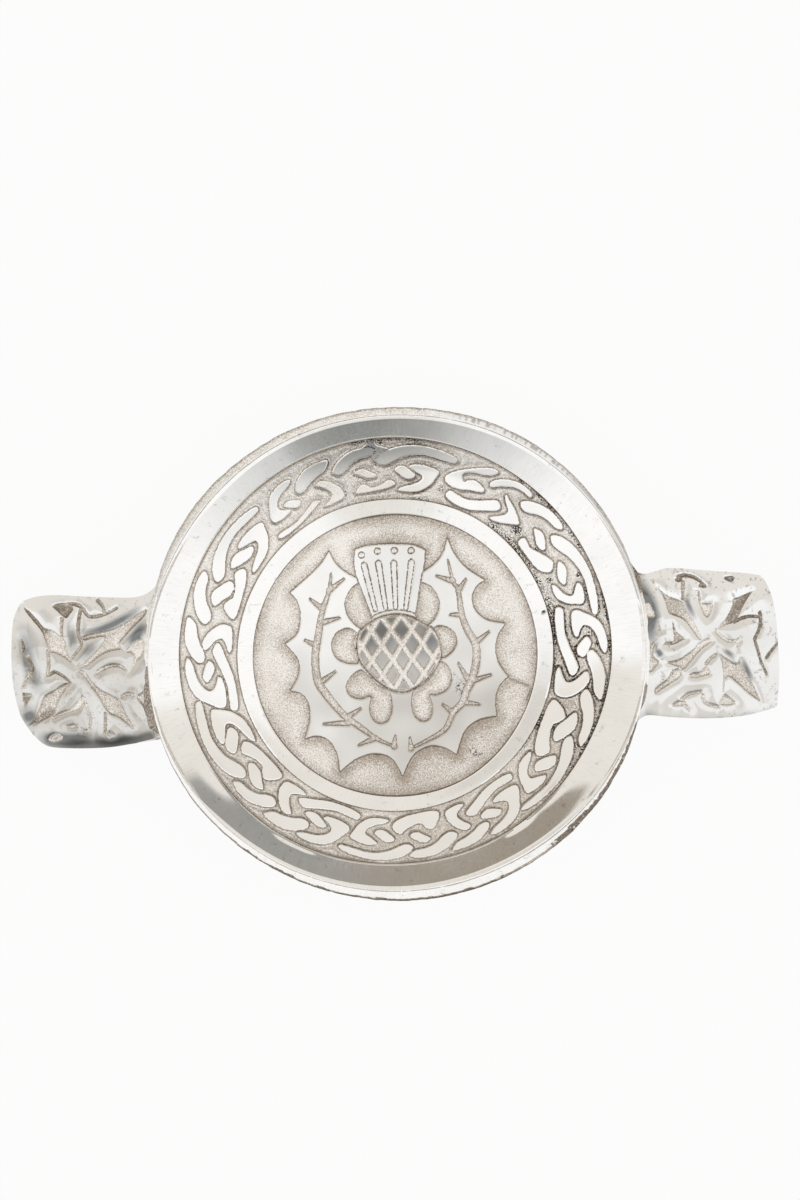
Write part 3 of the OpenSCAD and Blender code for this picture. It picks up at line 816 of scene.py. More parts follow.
# A run of metal from the wall into the strands, and where soot lies: degrees, mm, and reach in mm
BRIDGE = [(95.8, 43.9), (98.5, 43.9), (98.4, 42.6), (99.6, 42), (102, 41.2), (100.5, 40.3), (97.8, 40),
          (96.3, 38.6), (94, 39.4), (92.5, 41), (94.2, 41.6), (95.6, 42), (96, 42.6)]
SOOT_SPOTS = [(9.3, 42.7, .9), (31, 42.7, 1.2), (44, 42.8, 1.2), (3, 40.2, 1), (6, 38.9, 1), (2, 35.9, .9),
              (8, 35.4, .8), (15.5, 33.4, .8), (34, 36.2, .6), (37, 35, .6), (75, 34.3, .9),
              (354, 32.2, 1.1), (347.5, 43, .6), (351, 38.6, .6), (356, 36.6, .7), (94.8, 42.5, .8),
              (92, 43, .7), (97, 38.2, .8), (4, 31.9, .7), (20, 32, .8), (27, 31.9, .7), (34, 31.8, .7),
              (46, 34.4, 1.7), (26, 33.9, 1), (23.5, 39.7, .9)]

# Steps round and across the band
BAND_TURNS = 1400
BAND_ROWS = 62
# Stretches of the band, as those of the wall: worn and badly cast, sooty, and with soot along an edge
WORN_BAND = (92, 130, 16)
SOOTY_BAND = [(-35, 20, 20, 1), (20, 75, 20, 0.28), (75, 112, 20, 0.6), (200, 330, 40, 0.15)]
SOOTY_INSIDE = (6, 56, 8)
SOOTY_OUTSIDE = (30, 56, 8)
# How far worn strands have shrunk, and how far the ground at the band's edges is from polished metal, in mm
WORN_SHRINK = 0.22
EDGE_GAP = 0.15
# The part of a soot spot's reach that is full of soot
SPOT_CORE = 0.3


def unrolled(points):
    """Points in degrees and mm from the middle of the photograph's bowl, in mm on the band."""
    angle, radius = np.radians(points[:, 0]), points[:, 1]
    return at_depth(turned(radius * np.cos(angle), radius * np.sin(angle)), dish(radius))


def knot_outlines():
    """Outlines of all strands of the six knots, in mm on the band."""
    outlines = [unrolled(closed_curve(strand)) for strand in OWN_STRANDS]
    for boxes in KNOT_BOXES:
        for strand, box in zip(KNOT, boxes):
            if box:
                curve = closed_curve(strand)
                share = (curve - curve.min(0)) / (curve.max(0) - curve.min(0))
                corner, size = np.array([box[0], box[2]]), np.array([box[1] - box[0], box[3] - box[2]])
                outlines.append(unrolled(corner + share * size))
    return outlines


def band_soot(x, y, angle, across, strands, sooty):
    """Soot in the crannies of the ground, along the band's edges and in spots."""
    edge = np.minimum(across, 1 - across) * BAND_W
    cranny = np.maximum(smooth(0.6, 0.15, strands), smooth(0.8, 0.1, edge))
    dirt = sooty * smooth(0, 0.12, strands) * (0.3 + 1.3 * cranny * (0.7 + 0.9 * noise(x, y, 3, 14)))
    inner = angle_window(angle, *SOOTY_INSIDE) * smooth(2.4, 0.5, across * BAND_W)
    outer = angle_window(angle, *SOOTY_OUTSIDE) * smooth(1.2, 0.3, (1 - across) * BAND_W)
    gathered = np.maximum(inner, outer) * smooth(0, 0.12, strands)
    dirt = np.maximum(dirt, gathered * (0.85 + 0.6 * noise(x, y, 2, 18)))
    spots = np.array(SOOT_SPOTS)
    near = near_spots(x, y, unrolled(spots[:, :2]), spots[:, 2], SPOT_CORE)
    return np.maximum(dirt, 1.5 * near * smooth(0, 0.2, strands))


def build_band():
    """Knotwork: strands flush with the wall over a grainy sunken ground, worn and badly cast at the top."""
    angle = np.linspace(0, 2 * np.pi, BAND_TURNS, endpoint=False)[:, None]
    across = np.linspace(0, 1, BAND_ROWS)[None, :]
    true_r = BAND_IN_R + FIT + across * (BAND_W - 2 * FIT)
    radius = cast_radius(true_r, angle)
    x, y = radius * np.cos(angle), radius * np.sin(angle)
    strands = nearest(x, y, knot_outlines())
    worn = angle_window(angle, *WORN_BAND) * smooth(0.75, 0.45, across)
    bridge = area_distance(x, y, unrolled(closed_curve(BRIDGE)))
    gap = np.minimum(strands + WORN_SHRINK * worn, bridge)
    edge = np.minimum(across, 1 - across) * BAND_W
    gap = np.minimum(gap, np.where(bridge < 0.2, gap, edge + EDGE_GAP))

    sand = 0.5 * noise(x, y, 0.45, 11) + 0.5 * noise(x, y, 1.1, 12)
    lumps = noise(x, y, 2.0, 16)
    sunk = smooth(-0.1, 0.5, gap)
    depth = RELIEF * sunk * (0.95 - 0.2 * smooth(0.4, 1.3, gap) + 0.12 * sand - worn * (0.3 + 0.15 * lumps))
    z = dish(true_r) - depth - sunk_side(true_r, angle) + 0.012 * noise(x, y, 4, 13) * (1 - sunk)
    base = np.array([BAND_OUT_R - FIT, BAND_IN_R + FIT])
    base_r = cast_radius(base[None], angle)
    base_z = np.broadcast_to(dish(base) - (INLAY_DEPTH - FIT), base_r.shape)
    low = np.stack([base_r * np.cos(angle), base_r * np.sin(angle), base_z], axis=2)
    points = np.concatenate([np.stack([x, y, z], axis=2), low], axis=1)
    rows, columns = points.shape[:2]

    sooty = strongest(angle, SOOTY_BAND)
    dirt = np.clip(band_soot(x, y, angle, across, strands, sooty), 0, 1.6)
    dull = np.clip(0.75 * worn * (0.85 + 0.4 * noise(x, y, 1.5, 15)), 0, 1)
    stain_and_painted_shade = 0.2 * sooty - 0.2 + 0.2 * noise(x, y, 5, 17)

    def with_base(values, rest):
        """Values for the relief's points, and one value for those of the base."""
        return np.concatenate([np.broadcast_to(values, x.shape), np.full((rows, 2), rest)], axis=1).ravel()

    marks = {"gap": with_base(gap, BARE), "dull": with_base(dull, 0), "dirt": with_base(dirt, 0),
             "stain_and_painted_shade": with_base(stain_and_painted_shade, 0)}
    faces = grid_faces(rows, columns, True, True)
    piece = add_piece("knotwork_relief", points.reshape(-1, 3), faces, marks, relief_metal)
    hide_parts("knotwork_band")


# Thistle roundel, drawn on a grid over the photograph

THISTLE_CORNER = (230, 500)
THISTLE_SQUARE = 2.105
# Outline of the leaves and the crown. Each stretch starts at a corner
LEAF = [
    [(59.5, 23.5), (66, 21.6), (77, 21), (87, 21.5)],
    [(92.5, 23.8), (92.3, 29)],
    [(91.3, 34.5), (97, 30.5), (101, 25.5)],
    [(103.2, 18.3), (106.5, 25.5), (112.5, 32.5)],
    [(121, 38), (116.8, 41), (114.8, 47), (117, 53), (122.5, 57.2)],
    [(130.7, 58.7), (127.3, 64), (126, 70), (127.3, 77)],
    [(132, 83.8), (128, 88), (126, 94)],
    [(126.5, 102.5), (118, 104.3), (111.5, 109.5)],
    [(107.5, 120.7), (102, 117.5), (94.5, 116.8), (87, 121)],
    [(82, 130.8), (77, 122.7), (69, 120.3), (60, 122.8)],
    [(52.3, 128.8), (51, 120.5), (47, 114), (41.5, 112)],
    [(35.8, 113.2), (38, 104.5), (37.5, 96.5), (34, 92)],
    [(28.8, 90.5), (32.5, 83.5), (32.6, 76)],
    [(26.3, 68.3), (32, 63.5), (33.6, 55.5), (32, 48)],
    [(28.5, 44), (36.5, 37), (43, 30.5)],
    [(47, 24.3), (49.8, 29.5), (54.5, 34)],
    [(60.3, 37.3), (59, 30)],
]
LOBES = [
    [(61, 39.5), (57, 42.5), (54.3, 49), (56, 55.5), (60, 60), (62.7, 61), (65.5, 59), (67.3, 57),
     (65, 50), (62.7, 43)],
    [(91, 39), (95.5, 41), (99, 46), (99.5, 51.5), (97, 57), (93.5, 59.4), (90, 58), (88.3, 54.5),
     (89.5, 48), (90.3, 42)],
    [(60.5, 63.3), (56.5, 60.7), (51, 62.5), (48, 68), (49.5, 74), (54, 77.3), (60.3, 78), (61, 75),
     (59.3, 70), (59.3, 66)],
    [(97, 60.5), (101.5, 59.6), (106.5, 62.5), (108, 67.5), (105.5, 72.5), (101, 75.2), (100, 71),
     (98.3, 66)],
    [(62.5, 80.5), (58, 83), (55, 88.5), (57, 93.2), (62, 94.8), (66.8, 93.5), (66, 98.5), (67.5, 104),
     (71.5, 106.5), (75.5, 104.5), (77.3, 98.5), (76.5, 92.5), (74.5, 90), (70, 87.5), (66, 83.5)],
    [(100, 76.7), (104, 79.3), (105.5, 84.5), (103.5, 90), (98, 92.8), (95.2, 92.8), (96.5, 98), (95, 104),
     (90.5, 105.2), (87, 101.5), (86, 95.5), (87, 90.5), (91, 88), (96, 83.5)],
]
BULB = [(60.3, 68), (61.8, 62.3), (66, 58.5), (72, 55.6), (79, 54.4), (86, 55.6), (92, 58.5), (97, 61.8),
        (99.6, 67), (100.5, 73), (99, 78), (95.5, 83), (90.5, 87.5), (85, 90.5), (80, 91), (75, 89.3),
        (69, 85), (64, 79.5), (61, 74.5)]
BULB_MIDDLE = (80, 71)
DIAMOND_MIDDLE = (76.9, 68.7)
DIAMOND_W = 9.8
DIAMOND_H = 14.6
VEINS = [
    [(48, 35), (47, 43), (43.5, 54), (42, 64), (40.5, 74), (41.5, 85), (45.5, 92), (54, 102), (62, 108),
     (70, 113.5), (78, 117)],
    [(103.5, 28.5), (106, 38.5), (108.5, 43), (110, 54), (113, 62), (116.5, 68), (117, 76), (115, 85),
     (112, 91), (110.5, 96), (106, 101), (102, 109), (93, 114.5), (86, 118)],
]
THORNS = [
    [(47, 43), (54, 37.5)], [(43, 51), (38, 47)], [(44.5, 58), (52, 56)], [(40.5, 69), (35.5, 66.5)],
    [(44, 86), (50, 81.5)], [(56, 103), (62, 99)], [(56, 106), (44.5, 106.5)], [(69, 113), (61, 116.5)],
    [(78, 117), (78.5, 112)],
    [(106, 38.5), (98, 36)],
    [(108.5, 43), (112, 37.5)],
    [(110, 54.5), (104.5, 54.5)],
    [(116.5, 68), (123, 62.5)],
    [(113, 85), (108.5, 77.5)],
    [(115, 86), (124, 83)],
    [(110.5, 96), (118.5, 97)],
    [(106, 101), (101, 97)], [(86, 118), (85.5, 113)],
]
REEDS = [[(63.7, 31), (69, 52)],
[(70.5, 30), (74, 51.5)],
[(77.8, 30), (78.7, 51.2)],
[(86.2, 29.5), (83.5, 51.5)]]
CROWN_SIDES = [[(60.3, 37.3), (67.5, 56)], [(91.3, 34.5), (88.2, 55)]]
COLLAR = [(65.5, 58.2), (71, 54.8), (78.5, 53.2), (86, 54.3), (92, 57)]
BEADS = [(62.5, 26.2), (70, 24.3), (78, 24), (86, 24)]
BEAD_R = 0.6
CRACK = [(132.5, 84.5), (136.5, 86), (140.2, 87.4), (143.1, 89.3), (141.9, 92.6), (140.9, 95.5)]
# Pitted spots of the ground: place, and reach in mm
PITTED = [((110, 89), 2.2), ((117, 119), 2.4), ((106, 84), 1.2)]
# Half widths in mm of what is drawn with strokes, at the start and the end of each
VEIN_HALF = (0.25, 0.25)
VEIN_SWELL = 0.58
THORN_HALF = (0.62, 0.26)
REED_HALF = (0.6, 0.42)
COLLAR_HALF = (0.45, 0.45)
SEAM_HALF = (0.14, 0.16)
CRACK_HALF = (0.06, 0.06)
# Half width of the lines round the reeds, the beads and the bulb, and of the bulb's ribs, and their bend
LINE_HALF = 0.12
RIB_HALF = 0.6
RIB_BEND = 0.12
# The bulb's dome in mm: height at its edge, rise to its middle, and radius. Then the height of ribs and beads
DOME_EDGE = 0.25
DOME_RISE = 1.0
DOME_R = 8.6
RIB_H = 0.34
BEAD_H = 0.32
# Depth of the crack in mm, and the part of a pitted spot's reach that is full of pits
CRACK_DEPTH = 0.12
PIT_CORE = 0.2
# The floor sags inside a radius, in mm. Then the cells across the roundel
FLAT_R = 26.0
FLOOR_SAG = 0.25
DISC_CELLS = 290
# Stretches of the ground, as those of the wall, that are paler or, below 0, darker than the rest, which eases
# or deepens its painted shade there
GROUND_SIDE_TONES = [(112, 162, 15, 0.3), (165, 205, 15, 0.1), (-15, 60, 15, 0.1), (250, 325, 25, -0.22),
               (75, 105, 15, -0.1)]


def on_thistle(points):
    """Points of the thistle's drawing, in mm on the object."""
    return drawn(points, THISTLE_CORNER, THISTLE_SQUARE, FLOOR_Z)


def roundel_grid():
    """Places over the roundel: true radius, radius as cast, direction, x and y."""
    side = np.linspace(-1, 1, DISC_CELLS + 1)
    u, v = np.meshgrid(side, side)
    disc_x, disc_y = u * np.sqrt(1 - v * v / 2), v * np.sqrt(1 - u * u / 2)
    angle = np.arctan2(disc_y, disc_x)
    true_r = np.hypot(disc_x, disc_y) * (ROUNDEL_R - FIT)
    radius = cast_radius(true_r, angle)
    return true_r, radius, angle, radius * np.cos(angle), radius * np.sin(angle)


def thistle_cuts(x, y):
    """How far inside the cuts of the leaves and the crown a place is: veins, thorns, seams and lines."""
    veins = nearest_stroke(x, y, [on_thistle(open_curve(vein)) for vein in VEINS], *VEIN_HALF, VEIN_SWELL)
    thorns = nearest_stroke(x, y, [on_thistle(thorn) for thorn in THORNS], *THORN_HALF)
    seams = nearest_stroke(x, y, [on_thistle(seam) for seam in CROWN_SIDES], *SEAM_HALF)
    reeds = nearest_stroke(x, y, [on_thistle(reed) for reed in REEDS], *REED_HALF)
    collar = nearest_stroke(x, y, [on_thistle(open_curve(COLLAR))], *COLLAR_HALF)
    lines = np.abs(np.minimum(reeds, collar)) - LINE_HALF
    return -np.min([veins, thorns, seams, lines], axis=0)


def bulb_ribs(x, y, bulb):
    """How far inside the bulb's lattice of ribs a place is, negative on the diamonds between them."""
    square = THISTLE_SQUARE / PX_PER_MM
    wide, high = DIAMOND_W * square, DIAMOND_H * square
    middle_x, middle_y = on_thistle([DIAMOND_MIDDLE])[0]
    bent_x = x + RIB_BEND * noise(x, y, 2.5, 26)
    a = (bent_x - middle_x) / wide
    b = (y - middle_y) / high
    spacing = wide * high / np.hypot(wide, high)
    off = np.minimum(np.abs(np.mod(a + b, 1) - 0.5), np.abs(np.mod(a - b, 1) - 0.5))
    return np.maximum(RIB_HALF - spacing * off, bulb + 0.45)


def thistle_marks(x, y, angle, leaf, bulb, ribs):
    """Painted reflections on the dark diamonds and the warm gray leaves, painted shade in an arch over the
    crown, and the stains and pits of the ground.
    """
    bulb_x, bulb_y = on_thistle([BULB_MIDDLE])[0]
    on_bulb = smooth(0.05, -0.25, bulb)
    # Painted reflection: the bulb's polished diamonds darker toward the top
    above = smooth(-4, 3, y - bulb_y)
    gray_and_painted_reflection = on_bulb * smooth(0.05, -0.1, ribs) * (0.2 + 0.8 * above) * (0.85 + 0.3 * noise(x, y, 2.2, 25))
    # Painted reflection: polished leaves warm gray, most toward the bottom, and over the crown; the bulb's
    # diamonds too
    below = 0.15 + 0.55 * smooth(8, -8, y) + 0.3 * smooth(-3, -11, y) * smooth(-17, -6, x)
    below = below + 0.25 * smooth(-2, 8, x) * smooth(-6, 2, y)
    crown = smooth(7.5, 5.5, np.abs(x - bulb_x)) * smooth(5, 8, y - bulb_y)
    painted_gray = np.clip(np.maximum(below, 0.4 * crown), 0, 1) * (0.85 + 0.3 * noise(x, y, 5, 28))
    painted_warm_reflection = np.where(bulb < 0, 0.75, 0.74 * painted_gray)
    # Painted shade: the ground darker in an arch over the crown
    arch = np.hypot(x - bulb_x, (y - bulb_y - 17) * 1.6)
    stain_and_painted_shade = 0.35 * smooth(9, 5, arch) * smooth(17, 19.5, y - bulb_y) - 0.5 * on_bulb
    stain_and_painted_shade = stain_and_painted_shade + 0.15 * noise(x, y, 4, 29)
    # Ground paler or darker by side, easing or deepening its painted shade there
    worn = sum(strength * angle_window(angle, *stretch) for *stretch, strength in GROUND_SIDE_TONES)
    stain_and_painted_shade = stain_and_painted_shade - worn * smooth(0, 0.2, leaf)
    places, reaches = zip(*PITTED)
    dirt = near_spots(x, y, on_thistle(places), reaches, PIT_CORE) * smooth(0, 0.4, noise(x, y, 0.6, 27))
    return {"gray_and_painted_reflection": np.clip(gray_and_painted_reflection, 0, 1), "dirt": dirt, "stain_and_painted_shade": stain_and_painted_shade, "painted_warm_reflection": np.clip(painted_warm_reflection, 0, 1)}


def build_thistle():
    """Thistle: polished leaves and crown, a ribbed bulb, and a grainy ground that swells like a pillow."""
    true_r, radius, angle, x, y = roundel_grid()
    edge = cast_radius(ROUNDEL_R - FIT, angle) - radius
    leaf = area_distance(x, y, on_thistle(cornered_curve(LEAF)))
    ground = np.minimum(leaf, edge + 0.2)
    lobes = -nearest(x, y, [on_thistle(closed_curve(lobe)) for lobe in LOBES])
    cuts = thistle_cuts(x, y)
    bulb = area_distance(x, y, on_thistle(closed_curve(BULB)))
    ribs = bulb_ribs(x, y, bulb)
    beads = [np.hypot(x - bead_x, y - bead_y) for bead_x, bead_y in on_thistle(BEADS)]
    beads = np.min(beads, axis=0) - BEAD_R
    crack = nearest_stroke(x, y, [on_thistle(CRACK)], *CRACK_HALF)

    gap = np.maximum(ground, steeper(lobes, 0.2, 1.9))
    gap = np.maximum(gap, steeper(cuts, 0.15, 3.2))
    gap = np.maximum(gap, LINE_HALF - np.abs(beads - 0.05))
    gap = np.where(bulb < 0, ribs, np.maximum(gap, LINE_HALF - bulb))
    gap = np.minimum(gap, np.where(crack < 0.12, 0.1 + 0.6 * crack, 0.17 + 3 * (crack - 0.12)))

    deep = pillow(ground, (-0.05, 0.4), RELIEF, 0.7, 1.7)
    deep = np.where(ground > 0, deep, np.maximum(deep, 0))
    deep = np.where(lobes > 0, pillow(lobes, (-0.05, 0.4), 0.5, 0.55, 1.5), deep)
    deep = np.maximum(deep, 0.3 * smooth(-0.08, 0.25, cuts))
    deep = np.maximum(deep, 0.3 * smooth(0.35, -0.05, np.abs(bulb - 0.1)))
    on_bulb = smooth(0.05, -0.25, bulb)
    shoulder = 0.04 * np.exp(np.minimum(gap, 0) / 0.3) * (1 - on_bulb)
    bulb_x, bulb_y = on_thistle([BULB_MIDDLE])[0]
    out = np.clip(((x - bulb_x) ** 2 + (y - bulb_y) ** 2) / DOME_R ** 2, 0, 1)
    dome = on_bulb * (DOME_EDGE + DOME_RISE * (1 - out))
    rib = on_bulb * RIB_H * smooth(-0.1, 0.5, ribs)
    bump = BEAD_H * np.sqrt(np.clip(-beads / BEAD_R, 0, 1))
    sand = 0.5 * noise(x, y, 0.5, 21) + 0.5 * noise(x, y, 1.2, 22)
    rough = smooth(0, 0.3, gap)
    sag = FLOOR_SAG * np.maximum(0, 1 - (radius / FLAT_R) ** 2)
    z = (dish(true_r) - sag - (deep + shoulder) * (1 - on_bulb) + dome + rib + bump + 0.045 * rough * sand
         + 0.02 * noise(x, y, 6, 23) - CRACK_DEPTH * smooth(0.2, 0, crack))
    points, faces = skirted(np.stack([x, y, z], axis=2), [(0, FLOOR_Z - INLAY_DEPTH + FIT)])

    marks = thistle_marks(x, y, angle, leaf, bulb, ribs)
    marks = {mark: padded_mark(values, len(points)) for mark, values in marks.items()}
    marks["gap"] = padded_mark(gap, len(points), BARE)
    piece = add_piece("thistle_relief", points, faces, marks, thistle_metal)
    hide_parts("thistle_roundel")


# Lugs, drawn on grids over the photograph

# Cells of a lug's grid. In mm: radius of its root and of its dome, and width of its rolled edges. Then how
# dark its painted reflections are
LUG_CELLS_OUT = 170
LUG_CELLS_UP = 190
LUG_ROOT_R = 49.2
LUG_DOME_R = 90.0
ROLL_W = 3.4
PAINTED_REFLECTION_DARKNESS = 1.45
# How soon a lug's long sides leave the ends of its root: a power of the way out
ROOT_POWER = 12
# In mm: half width of a lug's strokes at their start and end, and how far its rise to the bowl and rust reach
STROKE_HALF = (0.42, 0.3)
RISE_REACH = 4
RUST_REACH = (1.1, 0.3)
# Loops under a lug's edge: share of the way to its middle, and height over its base in mm
LUG_BASE = [(0.004, 0.5), (0.03, 0)]

# A lug's drawing. corner is the grid's corner in photograph pixels, and square is the pixels in one
# square. side is its side of the bowl, rise is how far it rises to the bowl, and rolls is how far its
# edges fall, in mm. top, end and bottom are its sides, areas and strokes are sunken, and rusts are rusty
# cracks in them. browned is how brown the ground is at the top, the warm gray pair is how warm gray the
# polished metal is painted, as a reflection, at the bottom and at the top, and specks is how sooty it is.
# browns are brown stretches of its solder, wedge is where that is wider (start, end, growth), and ends are
# the shares of its length where it thins out. The gray lines are dark reflections painted along lines, each
# with a half width in squares and a strength.
LEFT_LUG = {
    "corner": (0, 560), "square": 1.403, "side": -1, "rise": 0.45,
    "rolls": {"top": 0.45, "end": 0.9, "bottom": 1.3},
    "top": [(113.3, 12), (109, 18.8), (104, 23.6), (96.5, 26.4), (85, 26.8), (60, 26), (40, 25), (26, 26),
            (14.5, 29.5)],
    "end": [(23, 125), (14.5, 112), (10.5, 98), (8, 82), (7.6, 60), (9, 42), (14.5, 29.5)],
    "bottom": [(107, 128.3), (92, 131.5), (75, 134), (50, 134.5), (33, 132.8), (23, 125)],
    "areas": [
        [(16, 33.5), (20, 36), (26, 42), (31, 48), (37, 50), (42, 53.5), (46.5, 58), (47.5, 63), (49, 68),
         (53, 75.5), (48.5, 72), (44, 69), (39, 66.5), (35, 66), (33.5, 62), (31.5, 56), (28.5, 50),
         (24, 44.5), (19, 38.5)],
        [(104, 35), (100, 37), (95, 40), (88, 45), (80, 49), (72, 51), (62, 53), (58, 55), (60, 57.5),
         (66, 56), (74, 55), (72, 60), (68, 65), (63, 70), (58, 75), (54, 77), (62, 76), (68, 71), (74, 67),
         (80, 65), (86, 64), (88, 65), (85.5, 60), (88, 56), (94, 49), (100, 43), (104, 38)],
        [(20.5, 119), (24, 114), (28, 105), (30.5, 98), (34, 95), (38, 93), (43, 89.5), (49, 87), (50.5, 88),
         (47, 92.5), (43, 98), (40.5, 104), (39, 110), (36, 112), (30, 115), (25, 118)],
        [(56, 78), (60, 79), (64, 84), (68, 89), (73, 93), (79, 96), (85, 99.5), (87, 103), (90, 110),
         (95.5, 121), (90, 117), (84, 112.5), (78, 110), (74, 105), (70, 98), (65, 91), (60, 84), (56, 80)],
        [(37, 33), (41, 31), (46, 30.5), (50.5, 32), (52, 35), (50, 38), (47, 41.5), (44, 40), (40, 36)],
        [(89, 65.5), (93, 60), (99, 56), (102.5, 57.5), (103, 64), (101, 69), (98, 72), (96, 77), (92, 80.5),
         (94, 75), (95, 69), (93, 66.5)],
        [(48, 108.5), (55, 100.5), (58.5, 96), (60.5, 99), (59, 104), (55, 107.5)],
        [(47, 118.5), (52, 117), (56, 118), (54, 120), (49, 120.5)],
        [(57, 119.5), (61, 121), (63, 120), (62, 124), (59, 123)],
        [(34, 127), (38, 123.5), (42, 124), (44.5, 127), (40, 130), (35.5, 129.5)],
        [(75, 125.5), (77.5, 122), (81, 123.5), (81.5, 126), (78, 127.5)],
        [(97, 97.5), (100, 95), (103, 93), (104.5, 99), (104, 108), (101, 104)],
        [(14.5, 57), (16, 57), (18, 63.5), (15.5, 66)],
        [(15.5, 95), (19, 95), (23, 96), (20.5, 100), (17.5, 104.5), (16, 101)],
        [(107.5, 84), (109, 95), (110.5, 108), (113, 122), (116, 131), (112, 130), (109, 120), (107.5, 102)],
    ],
    "strokes": [
        [(34, 65), (34.5, 74), (34, 82), (39, 80), (45, 83), (50, 87)],
        [(48, 31.5), (54, 31.5), (58, 34), (61, 38), (64, 40.5), (70, 40), (77, 37.5), (83, 34)],
        [(69.5, 28.5), (73, 33), (74, 37.5)], [(44, 42), (43.5, 48), (44, 54)],
        [(57, 36), (55.5, 46), (56, 54), (58, 60), (55, 65), (51, 70)],
        [(69, 80.5), (73, 77.5), (79, 75.5), (85, 75.5), (89, 78)],
        [(60, 99), (62.5, 107), (64.5, 114), (63.5, 119)],
        [(38, 112.5), (44, 109.5), (48, 108)], [(75, 110), (75, 117), (74.5, 124)],
        [(19.5, 68.5), (21.5, 73), (23.5, 77), (22.5, 82.5)], [(21.5, 80), (18.5, 85), (16.5, 89.5)],
        [(87, 97.5), (91, 95.5), (95, 96.5)],
    ],
    "rusts": [[(19, 37), (32, 50)], [(40, 34), (50, 36), (47, 40)], [(15, 58), (17, 65)],
              [(21, 72), (24, 80)], [(17, 97), (20, 101)], [(25, 116), (36, 108)], [(38, 82), (48, 86)]],
    "browned": 0.3, "painted_warm_reflection": (0.58, 0.18), "specks": 0.25,
    "browns": [(184, 200, 6, 1), (160, 166, 6, 1)], "wedge": (188, 202, 1.9), "ends": (0.1, 0.2),
    "painted_reflections": [([(58, 52), (70, 49.5), (80, 46), (90, 40.5), (98, 36)], 3.5, 0.8),
              ([(103, 45), (97, 54), (92, 60)], 5, 0.8),
              ([(16, 50), (18, 60), (20, 74), (25, 86), (27, 91)], 6, 0.55),
              ([(30, 128), (50, 128.5), (66, 127)], 6, 0.95),
              ([(66, 128), (80, 129), (98, 126)], 5, 0.75),
              ([(19, 108), (22, 115)], 6, 0.9), ([(51, 49), (52, 62)], 4, 0.55),
              ([(59, 68), (68, 60)], 4, 0.5), ([(70, 80), (78, 75), (86, 75.5)], 2, 0.7)],
}
